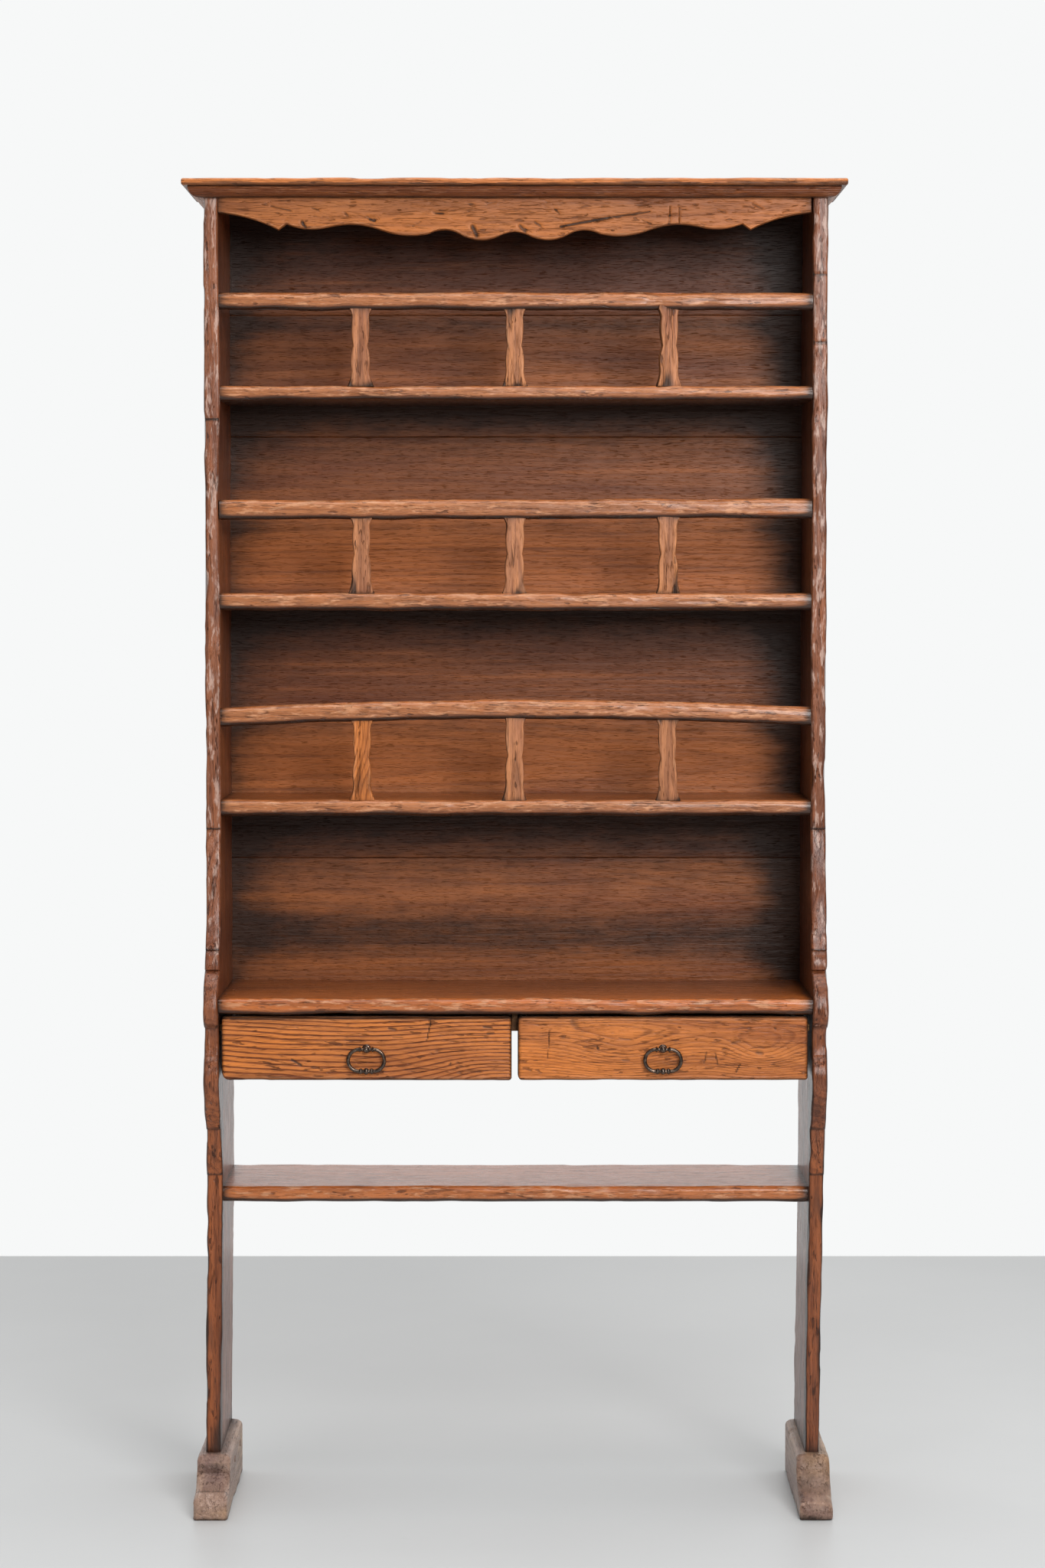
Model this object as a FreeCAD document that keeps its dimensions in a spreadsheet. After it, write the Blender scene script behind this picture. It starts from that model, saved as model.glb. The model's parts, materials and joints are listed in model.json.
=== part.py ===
"""Open oak plate-rack dresser: shaped side boards on sledge feet, plate shelves with galleries,
a counter with two hanging drawers, and a stretcher shelf.

Frame: +Z up, +X to the viewer's right, the front faces -Y, millimetres.
The origin is on the floor, midway between the feet and midway along them.
"""
import FreeCAD
import Part
import Sketcher
import os
import re

doc = FreeCAD.newDocument("plate_rack_dresser")

# Driving dimensions, in millimetres
SIZES = {
    # Carcase
    "case_width": 920.0,
    "upper_depth": 228.0,
    "side_thickness": 22.0,
    "leg_setback": 7.0,
    "housing_depth": 7.0,
    "housing_stop": 12.0,
    "top_bay": 292.0,
    "upper_bay": 307.0,
    "middle_bay": 308.0,
    "counter_bay": 291.0,
    "counter_height": 772.0,
    # Shaped front edge: rises and drops from the counter's top, reaches forward of the upper front edge
    "brace_top_rise": 248.0,
    "brace_waist_rise": 153.0,
    "brace_quirk_rise": 70.0,
    "brace_cusp_rise": 41.0,
    "nose_drop": 8.0,
    "nose_base_drop": 43.0,
    "hollow_base_drop": 86.0,
    "knee_drop": 117.0,
    "knee_turn_drop": 160.0,
    "knee_base_drop": 199.0,
    "brace_base_drop": 271.0,
    "brace_waist_reach": 11.0,
    "brace_quirk_reach": 29.0,
    "brace_cusp_reach": 37.0,
    "nose_reach": 63.0,
    "nose_base_reach": 51.0,
    "hollow_reach": 43.0,
    "knee_reach": 56.0,
    "knee_turn_reach": 45.0,
    "knee_base_reach": 19.0,
    "quirk_step": 2.5,
    "cusp_step": 6.0,
    "brace_base_step": 4.0,
    "shallow_swell": 3.0,
    "deep_swell": 6.0,
    # Feet
    "foot_width": 50.0,
    "foot_height": 80.0,
    "foot_outset": 1.0,
    "foot_shoulder_lead": 16.0,
    "foot_shoulder_drop": 18.0,
    "foot_shoulder_run": 10.0,
    "foot_hollow_run": 35.0,
    "toe_height": 36.0,
    "toe_length": 36.0,
    "toe_nose_height": 18.0,
    "toe_undercut": 3.0,
    "toe_swell": 4.0,
    "foot_hollow": 7.0,
    "foot_edge_radius": 4.0,
    "tenon_thickness": 12.0,
    "tenon_depth": 45.0,
    "tenon_shoulder": 35.0,
    "peg_radius": 5.0,
    "peg_inset": 24.0,
    "peg_below_top": 24.0,
    # Cornice
    "cornice_overhang": 30.0,
    "cornice_board_thickness": 10.0,
    "cornice_board_rounding": 3.0,
    "moulding_height": 16.0,
    "moulding_reach": 21.0,
    "moulding_fillet": 3.0,
    "moulding_hollow": 4.5,
    # Valance
    "valance_thickness": 16.0,
    "valance_setback": 2.0,
    # Shelves and plate galleries
    "shelf_setback": 3.0,
    "shelf_nose_radius": 7.0,
    "upper_shelf_thickness": 20.5,
    "middle_shelf_thickness": 24.0,
    "lower_shelf_thickness": 22.0,
    "rail_depth": 20.0,
    "rail_rounding": 5.0,
    "rail_tenon": 10.0,
    "upper_rail_thickness": 23.0,
    "middle_rail_thickness": 26.5,
    "lower_rail_thickness": 26.0,
    "upper_gallery_height": 113.0,
    "middle_gallery_height": 110.5,
    "lower_gallery_height": 111.0,
    "lower_rail_bow": 11.0,
    "spindle_spacing": 228.0,
    "spindle_thickness": 12.0,
    "spindle_end_width": 33.0,
    "spindle_neck_width": 25.0,
    "spindle_waist_width": 22.0,
    "spindle_neck_rise": 17.0,
    "spindle_flare": 2.0,
    "spindle_bulge": 1.5,
    "spindle_tenon_width": 12.0,
    "spindle_tenon_depth": 6.0,
    "spindle_ease": 0.3,
    "counter_thickness": 21.5,
    "counter_reach": 55.0,
    "stretcher_height": 481.0,
    "stretcher_thickness": 23.5,
    "stretcher_setback": 12.0,
    "stretcher_back_gap": 2.0,
    # Back boards: joints measured from the shelf tops
    "back_thickness": 12.0,
    "back_rebate": 10.0,
    "back_end_gap": 0.5,
    "back_lap": 8.0,
    "back_joint_gap": 0.6,
    "joint_above_counter": 190.0,
    "joint_above_lower_shelf": 123.0,
    "joint_below_middle_shelf": 12.0,
    "joint_below_upper_shelf": 67.0,
    "joint_above_upper_shelf": 119.0,
    # Drawers and runners
    "drawer_height": 94.0,
    "drawer_top_gap": 6.0,
    "drawer_centre_gap": 9.0,
    "drawer_side_gap": 3.5,
    "drawer_setback": 6.0,
    "drawer_back_gap": 12.0,
    "drawer_front_thickness": 20.0,
    "drawer_front_rounding": 4.0,
    "drawer_lap": 12.0,
    "drawer_side_thickness": 12.0,
    "drawer_side_inset": 1.0,
    "drawer_side_drop": 5.0,
    "drawer_bottom_thickness": 6.0,
    "drawer_bottom_rise": 2.0,
    "runner_height": 10.0,
    "runner_drop": 29.0,
    "runner_stem": 8.0,
    "groove_depth": 7.0,
    "slide_clearance": 0.3,
    # Ring pulls
    "ring_wire_radius": 2.25,
    "ring_end_radius": 16.25,
    "ring_half_straight": 10.5,
    "ring_bead_lip": 0.35,
    "ring_bead_swell": 1.6,
    "ring_bead_length": 7.0,
    "ring_side_bead_swell": 1.0,
    "ring_side_bead_length": 5.6,
    "ring_collar_radius": 3.6,
    "ring_collar_length": 3.0,
    "eye_radius": 5.0,
    "eye_clearance": 0.05,
    "eye_end_play": 0.3,
    "eye_standoff": 9.0,
    "post_stem_radius": 3.2,
    "post_rosette_radius": 6.5,
    "post_rosette_thickness": 2.5,
    "post_rosette_edge": 1.0,
    "post_rosette_dome": 0.4,
    "post_shank_radius": 2.5,
    "pull_nut_width": 11.0,
    "pull_nut_thickness": 4.0,
}

# Scalloped lower edge of the valance, from the middle outwards: width of the stretch that ends there,
# drop below the valance's top, and swell of the stretch that leads on (positive swells downwards)
SCALLOPS = {
    "crest": (24.0, 72.0, 7.0),
    "first_lobe": (54.0, 70.0, -9.0),
    "first_hollow": (48.0, 68.0, 7.0),
    "second_lobe": (74.0, 62.0, -6.0),
    "second_hollow": (75.0, 58.0, 7.0),
    "notch": (62.0, 54.0, 0.0),
    "tip": (12.0, 63.0, -6.0),
}
SIZES["crest_hollow"] = 7.0
SIZES["valance_end_drop"] = 38.0
for place, (width, drop, swell) in SCALLOPS.items():
    SIZES[f"{place}_width"] = width
    SIZES[f"{place}_drop"] = drop
    SIZES[f"{place}_swell"] = swell

sheet = doc.addObject("Spreadsheet::Sheet", "sizes")
for row, (alias, size) in enumerate(SIZES.items(), start=1):
    sheet.set(f"A{row}", alias)
    sheet.set(f"B{row}", str(size))
    sheet.setAlias(f"B{row}", alias)
doc.recompute()

# Planes that several pieces share, as expressions on the driving dimensions
INNER = "(case_width / 2 - side_thickness)"
OUTER = "(case_width / 2)"
FOOT_REACH = "(foot_shoulder_lead + foot_shoulder_run + foot_hollow_run + toe_length)"
BACK = f"((upper_depth - leg_setback + {FOOT_REACH}) / 2)"
BACK_FACE = f"({BACK} - back_thickness)"
FRONT = f"({BACK} - upper_depth)"
LEG_FRONT = f"({FRONT} + leg_setback)"
COUNTER_FRONT = f"({FRONT} - counter_reach)"
COUNTER_BASE = "(counter_height - counter_thickness)"
LOWER_SHELF = "(counter_height + counter_bay)"
MIDDLE_SHELF = f"({LOWER_SHELF} + middle_bay)"
UPPER_SHELF = f"({MIDDLE_SHELF} + upper_bay)"
CASE_TOP = f"({UPPER_SHELF} + top_bay)"
SHELF_FRONT = f"({FRONT} + shelf_setback)"
RAIL_MIDDLE = f"({SHELF_FRONT} + rail_depth / 2)"
FOOT_MIDDLE = "(case_width / 2 - side_thickness / 2 + foot_outset)"
LEG_MIDDLE = "(case_width / 2 - side_thickness / 2)"
TENON_FRONT = f"({LEG_FRONT} + tenon_shoulder)"
TENON_BACK = f"({BACK} - tenon_shoulder)"
DRAWER_TOP = f"({COUNTER_BASE} - drawer_top_gap)"
DRAWER_BASE = f"({DRAWER_TOP} - drawer_height)"
DRAWER_FACE = f"({COUNTER_FRONT} + drawer_setback)"
DRAWER_INSIDE = f"({DRAWER_FACE} + drawer_front_thickness)"
DRAWER_END = f"({BACK_FACE} - drawer_back_gap)"
DRAWER_NEAR = "(drawer_centre_gap / 2)"
DRAWER_FAR = f"({INNER} - drawer_side_gap)"
SIDE_BASE = f"({DRAWER_BASE} + drawer_bottom_rise + drawer_bottom_thickness)"
SIDE_TOP = f"({DRAWER_TOP} - drawer_side_drop)"
RUNNER_BASE = f"({COUNTER_BASE} - runner_drop)"
RUNNER_TOP = f"({RUNNER_BASE} + runner_height)"
RUNNER_FRONT = f"({DRAWER_INSIDE} + slide_clearance)"
EYE_DEPTH = f"({DRAWER_FACE} - eye_standoff)"
EYE_HEIGHT = f"({DRAWER_BASE} + drawer_height / 2)"
QUARTER_SWELL = "(1 - sqrt(2) / 2)"

pieces = []
pockets = []


def bound(text):
    """The expression with each driving dimension named in the sheet."""
    return re.sub(r"[A-Za-z_]\w*", lambda m: f"sizes.{m[0]}" if m[0] in SIZES else m[0], str(text))


def number(text):
    """What an expression comes to now."""
    return float(sheet.evalExpression(bound(text)))


def mirrored(sign, near, far):
    """Low and high X of a span given by its distances from the middle, on the side that sign names."""
    return (near, far) if sign > 0 else (f"-({far})", f"-({near})")


def new_body(label):
    body = doc.addObject("PartDesign::Body", label)
    body.Label = label
    pieces.append(body)
    return body


def rectangle(low_u, high_u, low_v, high_v):
    return [(low_u, low_v), (high_u, low_v), (high_u, high_v), (low_u, high_v)]


def circle(u, v, radius):
    return (u, v, radius)


def draw_circle(sketch, u, v, radius):
    centre = FreeCAD.Vector(number(u), number(v), 0)
    index = sketch.addGeometry(Part.Circle(centre, FreeCAD.Vector(0, 0, 1), number(radius)))
    constrain(sketch, Sketcher.Constraint("DistanceX", -1, 1, index, 3, centre.x), u)
    constrain(sketch, Sketcher.Constraint("DistanceY", -1, 1, index, 3, centre.y), v)
    constrain(sketch, Sketcher.Constraint("Radius", index, number(radius)), radius)


def constrain(sketch, constraint, text):
    """Adds a dimension to the sketch and binds it to an expression."""
    index = sketch.addConstraint(constraint)
    sketch.setExpression(f"Constraints[{index}]", bound(text))


def draw_outline(sketch, outline):
    """A closed outline of corners (u, v) or (u, v, swell), where swell bows the next stretch outwards."""
    corners = [FreeCAD.Vector(number(c[0]), number(c[1]), 0) for c in outline]
    count = len(corners)
    area = sum(corners[i - 1].x * corners[i].y - corners[i].x * corners[i - 1].y for i in range(count))
    starts, ends = [], []
    for i, (here, corner) in enumerate(zip(corners, outline)):
        there = corners[(i + 1) % count]
        swell = number(corner[2]) if len(corner) > 2 else 0.0
        if swell == 0.0:
            index = sketch.addGeometry(Part.LineSegment(here, there))
            starts.append((index, 1))
            ends.append((index, 2))
            continue
        along = there - here
        turn = 1 if (swell > 0) == (area > 0) else -1
        outward = FreeCAD.Vector(along.y, -along.x, 0) * (turn * abs(swell) / along.Length)
        middle = (here + there) / 2 + outward
        arc = Part.Arc(here, middle, there) if turn > 0 else Part.Arc(there, middle, here)
        index = sketch.addGeometry(arc)
        starts.append((index, 1 if turn > 0 else 2))
        ends.append((index, 2 if turn > 0 else 1))
    for i, corner in enumerate(outline):
        sketch.addConstraint(Sketcher.Constraint("Coincident", *ends[i - 1], *starts[i]))
    for (u, v, *_), corner, start in zip(outline, corners, starts):
        constrain(sketch, Sketcher.Constraint("DistanceX", -1, 1, *start, corner.x), u)
        constrain(sketch, Sketcher.Constraint("DistanceY", -1, 1, *start, corner.y), v)
    for i, corner in enumerate(outline):
        if len(corner) > 2 and number(corner[2]) != 0.0:
            u, v, swell = corner
            next_u, next_v = outline[(i + 1) % count][:2]
            chord = f"(({next_u}) - ({u}))^2 + (({next_v}) - ({v}))^2"
            radius = f"({chord}) / (8 * abs({swell})) + abs({swell}) / 2"
            constrain(sketch, Sketcher.Constraint("Radius", starts[i][0], number(radius)), radius)


def new_sketch(body, role, place, *outlines, rise="0"):
    """Outlines on a plane square to X (YZ_Plane), Y (XZ_Plane) or Z (XY_Plane), drawn from a height."""
    plane = next(f for f in body.Origin.OriginFeatures if f.Role == role)
    sketch = body.newObject("Sketcher::SketchObject", f"{body.Name}_sketch")
    sketch.AttachmentSupport = [(plane, "")]
    sketch.MapMode = "FlatFace"
    sketch.setExpression("AttachmentOffset.Base.y", bound(rise))
    sketch.setExpression("AttachmentOffset.Base.z", bound(f"-({place})" if role == "XZ_Plane" else place))
    for outline in outlines:
        if isinstance(outline, tuple):
            draw_circle(sketch, *outline)
        else:
            draw_outline(sketch, outline)
    return sketch


def extrude(body, kind, role, low, high, *outlines):
    """Pads or pockets outlines between two planes square to X (YZ_Plane), Y (XZ_Plane) or Z (XY_Plane)."""
    from_low = (kind == "Pad") != (role == "XZ_Plane")
    sketch = new_sketch(body, role, low if from_low else high, *outlines)
    feature = body.newObject(f"PartDesign::{kind}", f"{body.Name}_{kind}")
    feature.Profile = sketch
    feature.setExpression("Length", bound(f"({high}) - ({low})"))
    if kind == "Pocket":
        pockets.append(feature)
    return feature


def revolve(body, role, place, rise, *outlines):
    """Turns half outlines about the level line at a height of a plane square to X or Y."""
    sketch = new_sketch(body, role, place, *outlines, rise=rise)
    feature = body.newObject("PartDesign::Revolution", f"{body.Name}_turning")
    feature.Profile = sketch
    feature.ReferenceAxis = (sketch, ["H_Axis"])
    feature.Angle = 360


def round_edges(body, radius, chosen):
    """Fillets the edges of the body's tip whose middle point passes the test."""
    doc.recompute()
    tip = body.Tip
    names = [f"Edge{i}" for i, edge in enumerate(tip.Shape.Edges, start=1)
             if chosen(edge.valueAt((edge.FirstParameter + edge.LastParameter) / 2), edge)]
    fillet = body.newObject("PartDesign::Fillet", f"{body.Name}_rounding")
    fillet.Base = (tip, names)
    fillet.setExpression("Radius", bound(radius))


def new_box(label, low, high):
    """A plain board between two corners."""
    box = doc.addObject("Part::Box", label)
    box.Label = label
    for prop, axis, start, stop in zip(("Length", "Width", "Height"), "xyz", low, high):
        box.setExpression(prop, bound(f"({stop}) - ({start})"))
        box.setExpression(f"Placement.Base.{axis}", bound(start))
    return box


# Plate shelves with their galleries: node prefix, top face, board, rail, clear height under the rail, bow
GALLERIES = (
    ("upper", UPPER_SHELF, "upper_shelf_thickness", "upper_rail_thickness", "upper_gallery_height", "0"),
    ("middle", MIDDLE_SHELF, "middle_shelf_thickness", "middle_rail_thickness", "middle_gallery_height", "0"),
    ("lower", LOWER_SHELF, "lower_shelf_thickness", "lower_rail_thickness", "lower_gallery_height",
     "lower_rail_bow"),
)
SPINDLES = (("left", "-spindle_spacing"), ("middle", "0"), ("right", "spindle_spacing"))

# Housed boards: front edge, back edge, underside, top face
COUNTER = (COUNTER_FRONT, BACK_FACE, COUNTER_BASE, "counter_height")
STRETCHER = (f"({LEG_FRONT} + stretcher_setback)", f"({BACK} - stretcher_back_gap)",
             "(stretcher_height - stretcher_thickness)", "stretcher_height")


def plate_shelf_board(top, thickness):
    return (SHELF_FRONT, BACK_FACE, f"({top} - {thickness})", top)


HOUSED = [plate_shelf_board(top, thickness) for _, top, thickness, *_ in GALLERIES] + [COUNTER, STRETCHER]


def rail_tenon_section(centre):
    """Square section of a gallery rail's end tenon, at the height of the rail's middle."""
    return rectangle(f"({RAIL_MIDDLE} - rail_tenon / 2)", f"({RAIL_MIDDLE} + rail_tenon / 2)",
                     f"({centre} - rail_tenon / 2)", f"({centre} + rail_tenon / 2)")


def ahead(reach):
    """Depth of a point of the shaped edge that reaches forward of the upper front edge."""
    return f"({FRONT} - ({reach}))"


def from_counter(rise):
    return f"(counter_height + ({rise}))"


def side_board(label, sign):
    """Full-height board: brace, counter nose and knee on its front edge, tenon below, housings inside."""
    body = new_body(label)
    outline = [
        (LEG_FRONT, "foot_height"),
        (TENON_FRONT, "foot_height"),
        (TENON_FRONT, "foot_height - tenon_depth"),
        (TENON_BACK, "foot_height - tenon_depth"),
        (TENON_BACK, "foot_height"),
        (BACK, "foot_height"),
        (BACK, CASE_TOP),
        (FRONT, CASE_TOP),
        (FRONT, from_counter("brace_top_rise")),
        (ahead("-quirk_step"), from_counter("brace_top_rise"), "shallow_swell"),
        (ahead("brace_waist_reach"), from_counter("brace_waist_rise"), "-shallow_swell"),
        (ahead("brace_quirk_reach"), from_counter("brace_quirk_rise")),
        (ahead("brace_quirk_reach - quirk_step"), from_counter("brace_quirk_rise"), "shallow_swell"),
        (ahead("brace_cusp_reach"), from_counter("brace_cusp_rise")),
        (ahead("brace_cusp_reach - cusp_step"), from_counter("brace_cusp_rise"), "deep_swell"),
        (ahead("nose_reach"), from_counter("-nose_drop"), "deep_swell"),
        (ahead("nose_base_reach"), from_counter("-nose_base_drop")),
        (ahead("hollow_reach"), from_counter("-nose_base_drop"), "-shallow_swell"),
        (ahead("hollow_reach"), from_counter("-hollow_base_drop"), "shallow_swell"),
        (ahead("knee_reach"), from_counter("-knee_drop"), "shallow_swell"),
        (ahead("knee_turn_reach"), from_counter("-knee_turn_drop")),
        (ahead("knee_base_reach"), from_counter("-knee_base_drop")),
        (ahead("knee_base_reach - cusp_step"), from_counter("-knee_base_drop"), "-shallow_swell"),
        (f"({LEG_FRONT} - brace_base_step)", from_counter("-brace_base_drop")),
        (LEG_FRONT, from_counter("-brace_base_drop")),
    ]
    extrude(body, "Pad", "YZ_Plane", *mirrored(sign, INNER, OUTER), outline)
    housings = [rectangle(f"({front} + housing_stop)", back, base, top) for front, back, base, top in HOUSED]
    for _, shelf, _, rail, height, _ in GALLERIES:
        centre = f"({shelf} + {height} + {rail} / 2)"
        housings.append(rail_tenon_section(centre))
    extrude(body, "Pocket", "YZ_Plane", *mirrored(sign, INNER, f"({INNER} + housing_depth)"), *housings)
    extrude(body, "Pocket", "YZ_Plane", *mirrored(sign, INNER, f"({INNER} + back_rebate)"),
            rectangle(BACK_FACE, BACK, COUNTER_BASE, CASE_TOP))
    tenon = rectangle(TENON_FRONT, TENON_BACK, "foot_height - tenon_depth", "foot_height")
    for near, far in ((INNER, f"({LEG_MIDDLE} - tenon_thickness / 2)"),
                      (f"({LEG_MIDDLE} + tenon_thickness / 2)", OUTER)):
        extrude(body, "Pocket", "YZ_Plane", *mirrored(sign, near, far), tenon)
    extrude(body, "Pocket", "YZ_Plane", *mirrored(sign, INNER, OUTER),
            *[circle(y, z, "peg_radius") for y, z in PEGS])


PEGS = ((f"({TENON_FRONT} + peg_inset)", "(foot_height - peg_below_top)"),
        (f"({TENON_BACK} - peg_inset)", "(foot_height - peg_below_top)"))


def foot(label, sign):
    """Sledge foot: flat behind, with a rounded shoulder and a hollow down to a low toe in front."""
    body = new_body(label)
    low, high = mirrored(sign, f"({FOOT_MIDDLE} - foot_width / 2)", f"({FOOT_MIDDLE} + foot_width / 2)")
    shoulder = f"({LEG_FRONT} - foot_shoulder_lead)"
    toe = f"({LEG_FRONT} - {FOOT_REACH})"
    outline = [
        (f"({toe} + toe_undercut)", "0"),
        (BACK, "0"),
        (BACK, "foot_height"),
        (shoulder, "foot_height", "toe_swell"),
        (f"({shoulder} - foot_shoulder_run)", "foot_height - foot_shoulder_drop", "-foot_hollow"),
        (f"({toe} + toe_length)", "toe_height", "toe_swell"),
        (toe, "toe_nose_height"),
    ]
    extrude(body, "Pad", "YZ_Plane", low, high, outline)
    tenon_low, tenon_high = mirrored(sign, f"({LEG_MIDDLE} - tenon_thickness / 2)",
                                     f"({LEG_MIDDLE} + tenon_thickness / 2)")
    extrude(body, "Pocket", "XY_Plane", "foot_height - tenon_depth", "foot_height",
            rectangle(tenon_low, tenon_high, TENON_FRONT, TENON_BACK))
    sides = (number(low), number(high))
    extrude(body, "Pocket", "YZ_Plane", low, high, *[circle(y, z, "peg_radius") for y, z in PEGS])

    def upper_edge(point, edge):
        on_side = min(abs(point.x - side) for side in sides) < 0.01
        return on_side and abs(point.z - number("foot_height")) < 0.01 and not closed(edge)

    round_edges(body, "foot_edge_radius", upper_edge)


def closed(edge):
    return len(edge.Vertexes) < 2


def foot_pegs(label, sign):
    """Pegs driven through a foot and the tenon inside it."""
    start, _ = mirrored(sign, f"({FOOT_MIDDLE} - foot_width / 2)", f"({FOOT_MIDDLE} + foot_width / 2)")
    group = doc.addObject("Part::Compound", label)
    group.Label = label
    pegs = []
    for y, z in PEGS:
        peg = doc.addObject("Part::Cylinder", f"{label}_peg")
        peg.setExpression("Radius", bound("peg_radius"))
        peg.setExpression("Height", bound("foot_width"))
        peg.Placement.Rotation = FreeCAD.Rotation(FreeCAD.Vector(0, 1, 0), 90)
        for axis, place in zip("xyz", (start, y, z)):
            peg.setExpression(f"Placement.Base.{axis}", bound(place))
        pegs.append(peg)
    group.Links = pegs
    pieces.append(group)


def cornice():
    """Thin overhanging top board on a cove moulding that returns along both sides."""
    edge = f"({OUTER} + cornice_overhang)"
    board = new_body("cornice_top_board")
    front = f"({FRONT} - cornice_overhang)"
    extrude(board, "Pad", "XY_Plane", CASE_TOP, f"({CASE_TOP} + cornice_board_thickness)",
            rectangle(f"-{edge}", edge, front, BACK))

    def outer_edge(point, _):
        level = min(abs(point.z - number(z)) for z in (CASE_TOP, f"{CASE_TOP} + cornice_board_thickness"))
        return level < 0.01 and point.y < number(BACK) - 0.01

    round_edges(board, "cornice_board_rounding", outer_edge)

    foot_of_cove = f"({CASE_TOP} - moulding_height)"
    lip = f"({CASE_TOP} - moulding_fillet)"

    def section(wall, away):
        """Cove section against a wall plane, away is the direction it stands out in."""
        reach = f"({wall} + ({away}) * moulding_reach)"
        quirk = f"({wall} + ({away}) * moulding_fillet)"
        return [(wall, foot_of_cove), (wall, CASE_TOP), (reach, CASE_TOP), (reach, lip, "-moulding_hollow"),
                (quirk, foot_of_cove)]

    tip = f"({OUTER} + moulding_reach)"
    reach = f"({FRONT} - moulding_reach)"
    moulding = new_body("cornice_front_moulding")
    extrude(moulding, "Pad", "YZ_Plane", f"-{tip}", tip, section(FRONT, "-1"))
    for sign in (-1, 1):
        mitre = [(f"{sign} * {OUTER}", FRONT), (f"{sign} * {tip}", FRONT), (f"{sign} * {tip}", reach)]
        extrude(moulding, "Pocket", "XY_Plane", foot_of_cove, CASE_TOP, mitre)
    for label, sign in (("cornice_left_return", -1), ("cornice_right_return", 1)):
        body = new_body(label)
        extrude(body, "Pad", "XZ_Plane", reach, BACK, section(f"({sign} * {OUTER})", str(sign)))
        mitre = [(f"{sign} * {OUTER}", FRONT), (f"{sign} * {OUTER}", reach), (f"{sign} * {tip}", reach)]
        extrude(body, "Pocket", "XY_Plane", foot_of_cove, CASE_TOP, mitre)


def valance():
    """Board under the cornice with a scalloped lower edge, the same on both halves."""
    body = new_body("valance")
    right = []
    across = "0"
    for place in SCALLOPS:
        across = f"({across} + {place}_width)"
        right.append((across, f"({CASE_TOP} - {place}_drop)", f"{place}_swell"))
    end = f"({CASE_TOP} - valance_end_drop)"
    outline = right + [(INNER, end), (INNER, CASE_TOP), (f"-{INNER}", CASE_TOP)]
    swells = [corner[2] for corner in right]
    outline.append((f"-{INNER}", end, swells[-1]))
    for i in range(len(right) - 1, -1, -1):
        leads_on = swells[i - 1] if i else "-crest_hollow"
        outline.append((f"-{right[i][0]}", right[i][1], leads_on))
    low = f"({FRONT} + valance_setback)"
    extrude(body, "Pad", "XZ_Plane", low, f"({low} + valance_thickness)", outline)


def housed_board(label, board):
    """Shelf with a rounded nose, its ends let into the side boards behind a stop."""
    front, back, base, top = board
    body = new_body(label)
    swell = f"shelf_nose_radius * {QUARTER_SWELL}"
    nose = f"({front} + shelf_nose_radius)"
    outline = [
        (nose, base),
        (back, base),
        (back, top),
        (nose, top, swell),
        (front, f"({top} - shelf_nose_radius)"),
        (front, f"({base} + shelf_nose_radius)", swell),
    ]
    end = f"({INNER} + housing_depth)"
    extrude(body, "Pad", "YZ_Plane", f"-{end}", end, outline)
    for sign in (-1, 1):
        extrude(body, "Pocket", "XY_Plane", base, top,
                rectangle(*mirrored(sign, INNER, end), front, f"({front} + housing_stop)"))
    return body


def rail_underside(shelf, height, bow, across):
    """Height of a rail's lower face at a distance from the middle."""
    return f"({shelf} + {height} + ({bow}) * (1 - ({across})^2 / {INNER}^2))"


def spindle_tenons():
    """Outlines of the three stub tenons of a gallery, seen from above."""
    half_width, half_depth = "spindle_tenon_width / 2", "spindle_thickness / 2"
    return [rectangle(f"({x}) - {half_width}", f"({x}) + {half_width}",
                      f"{RAIL_MIDDLE} - {half_depth}", f"{RAIL_MIDDLE} + {half_depth}") for _, x in SPINDLES]


def gallery_rail(label, shelf, rail, height, bow):
    """Plate rail with rounded edges and a stub tenon at each end, mortised for its spindles."""
    body = new_body(label)
    base = f"({shelf} + {height})"
    top = f"({base} + {rail})"
    rail_back = f"({SHELF_FRONT} + rail_depth)"
    outline = [(f"-{INNER}", base, f"-({bow})"), (INNER, base), (INNER, top, bow), (f"-{INNER}", top)]
    extrude(body, "Pad", "XZ_Plane", SHELF_FRONT, rail_back, outline)
    ends = number(INNER)
    round_edges(body, "rail_rounding", lambda point, edge: abs(point.x) < ends - 1)
    centre = f"({base} + {rail} / 2)"
    root, end = f"({INNER} - rail_tenon / 2)", f"({INNER} + housing_depth)"
    for sign in (-1, 1):
        extrude(body, "Pad", "YZ_Plane", *mirrored(sign, root, end), rail_tenon_section(centre))
    for (_, x), mortise in zip(SPINDLES, spindle_tenons()):
        foot_of_mortise = f"({base} - spindle_ease)"
        roof = f"({rail_underside(shelf, height, bow, x)} + spindle_tenon_depth)"
        extrude(body, "Pocket", "XY_Plane", foot_of_mortise, roof, mortise)


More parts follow.
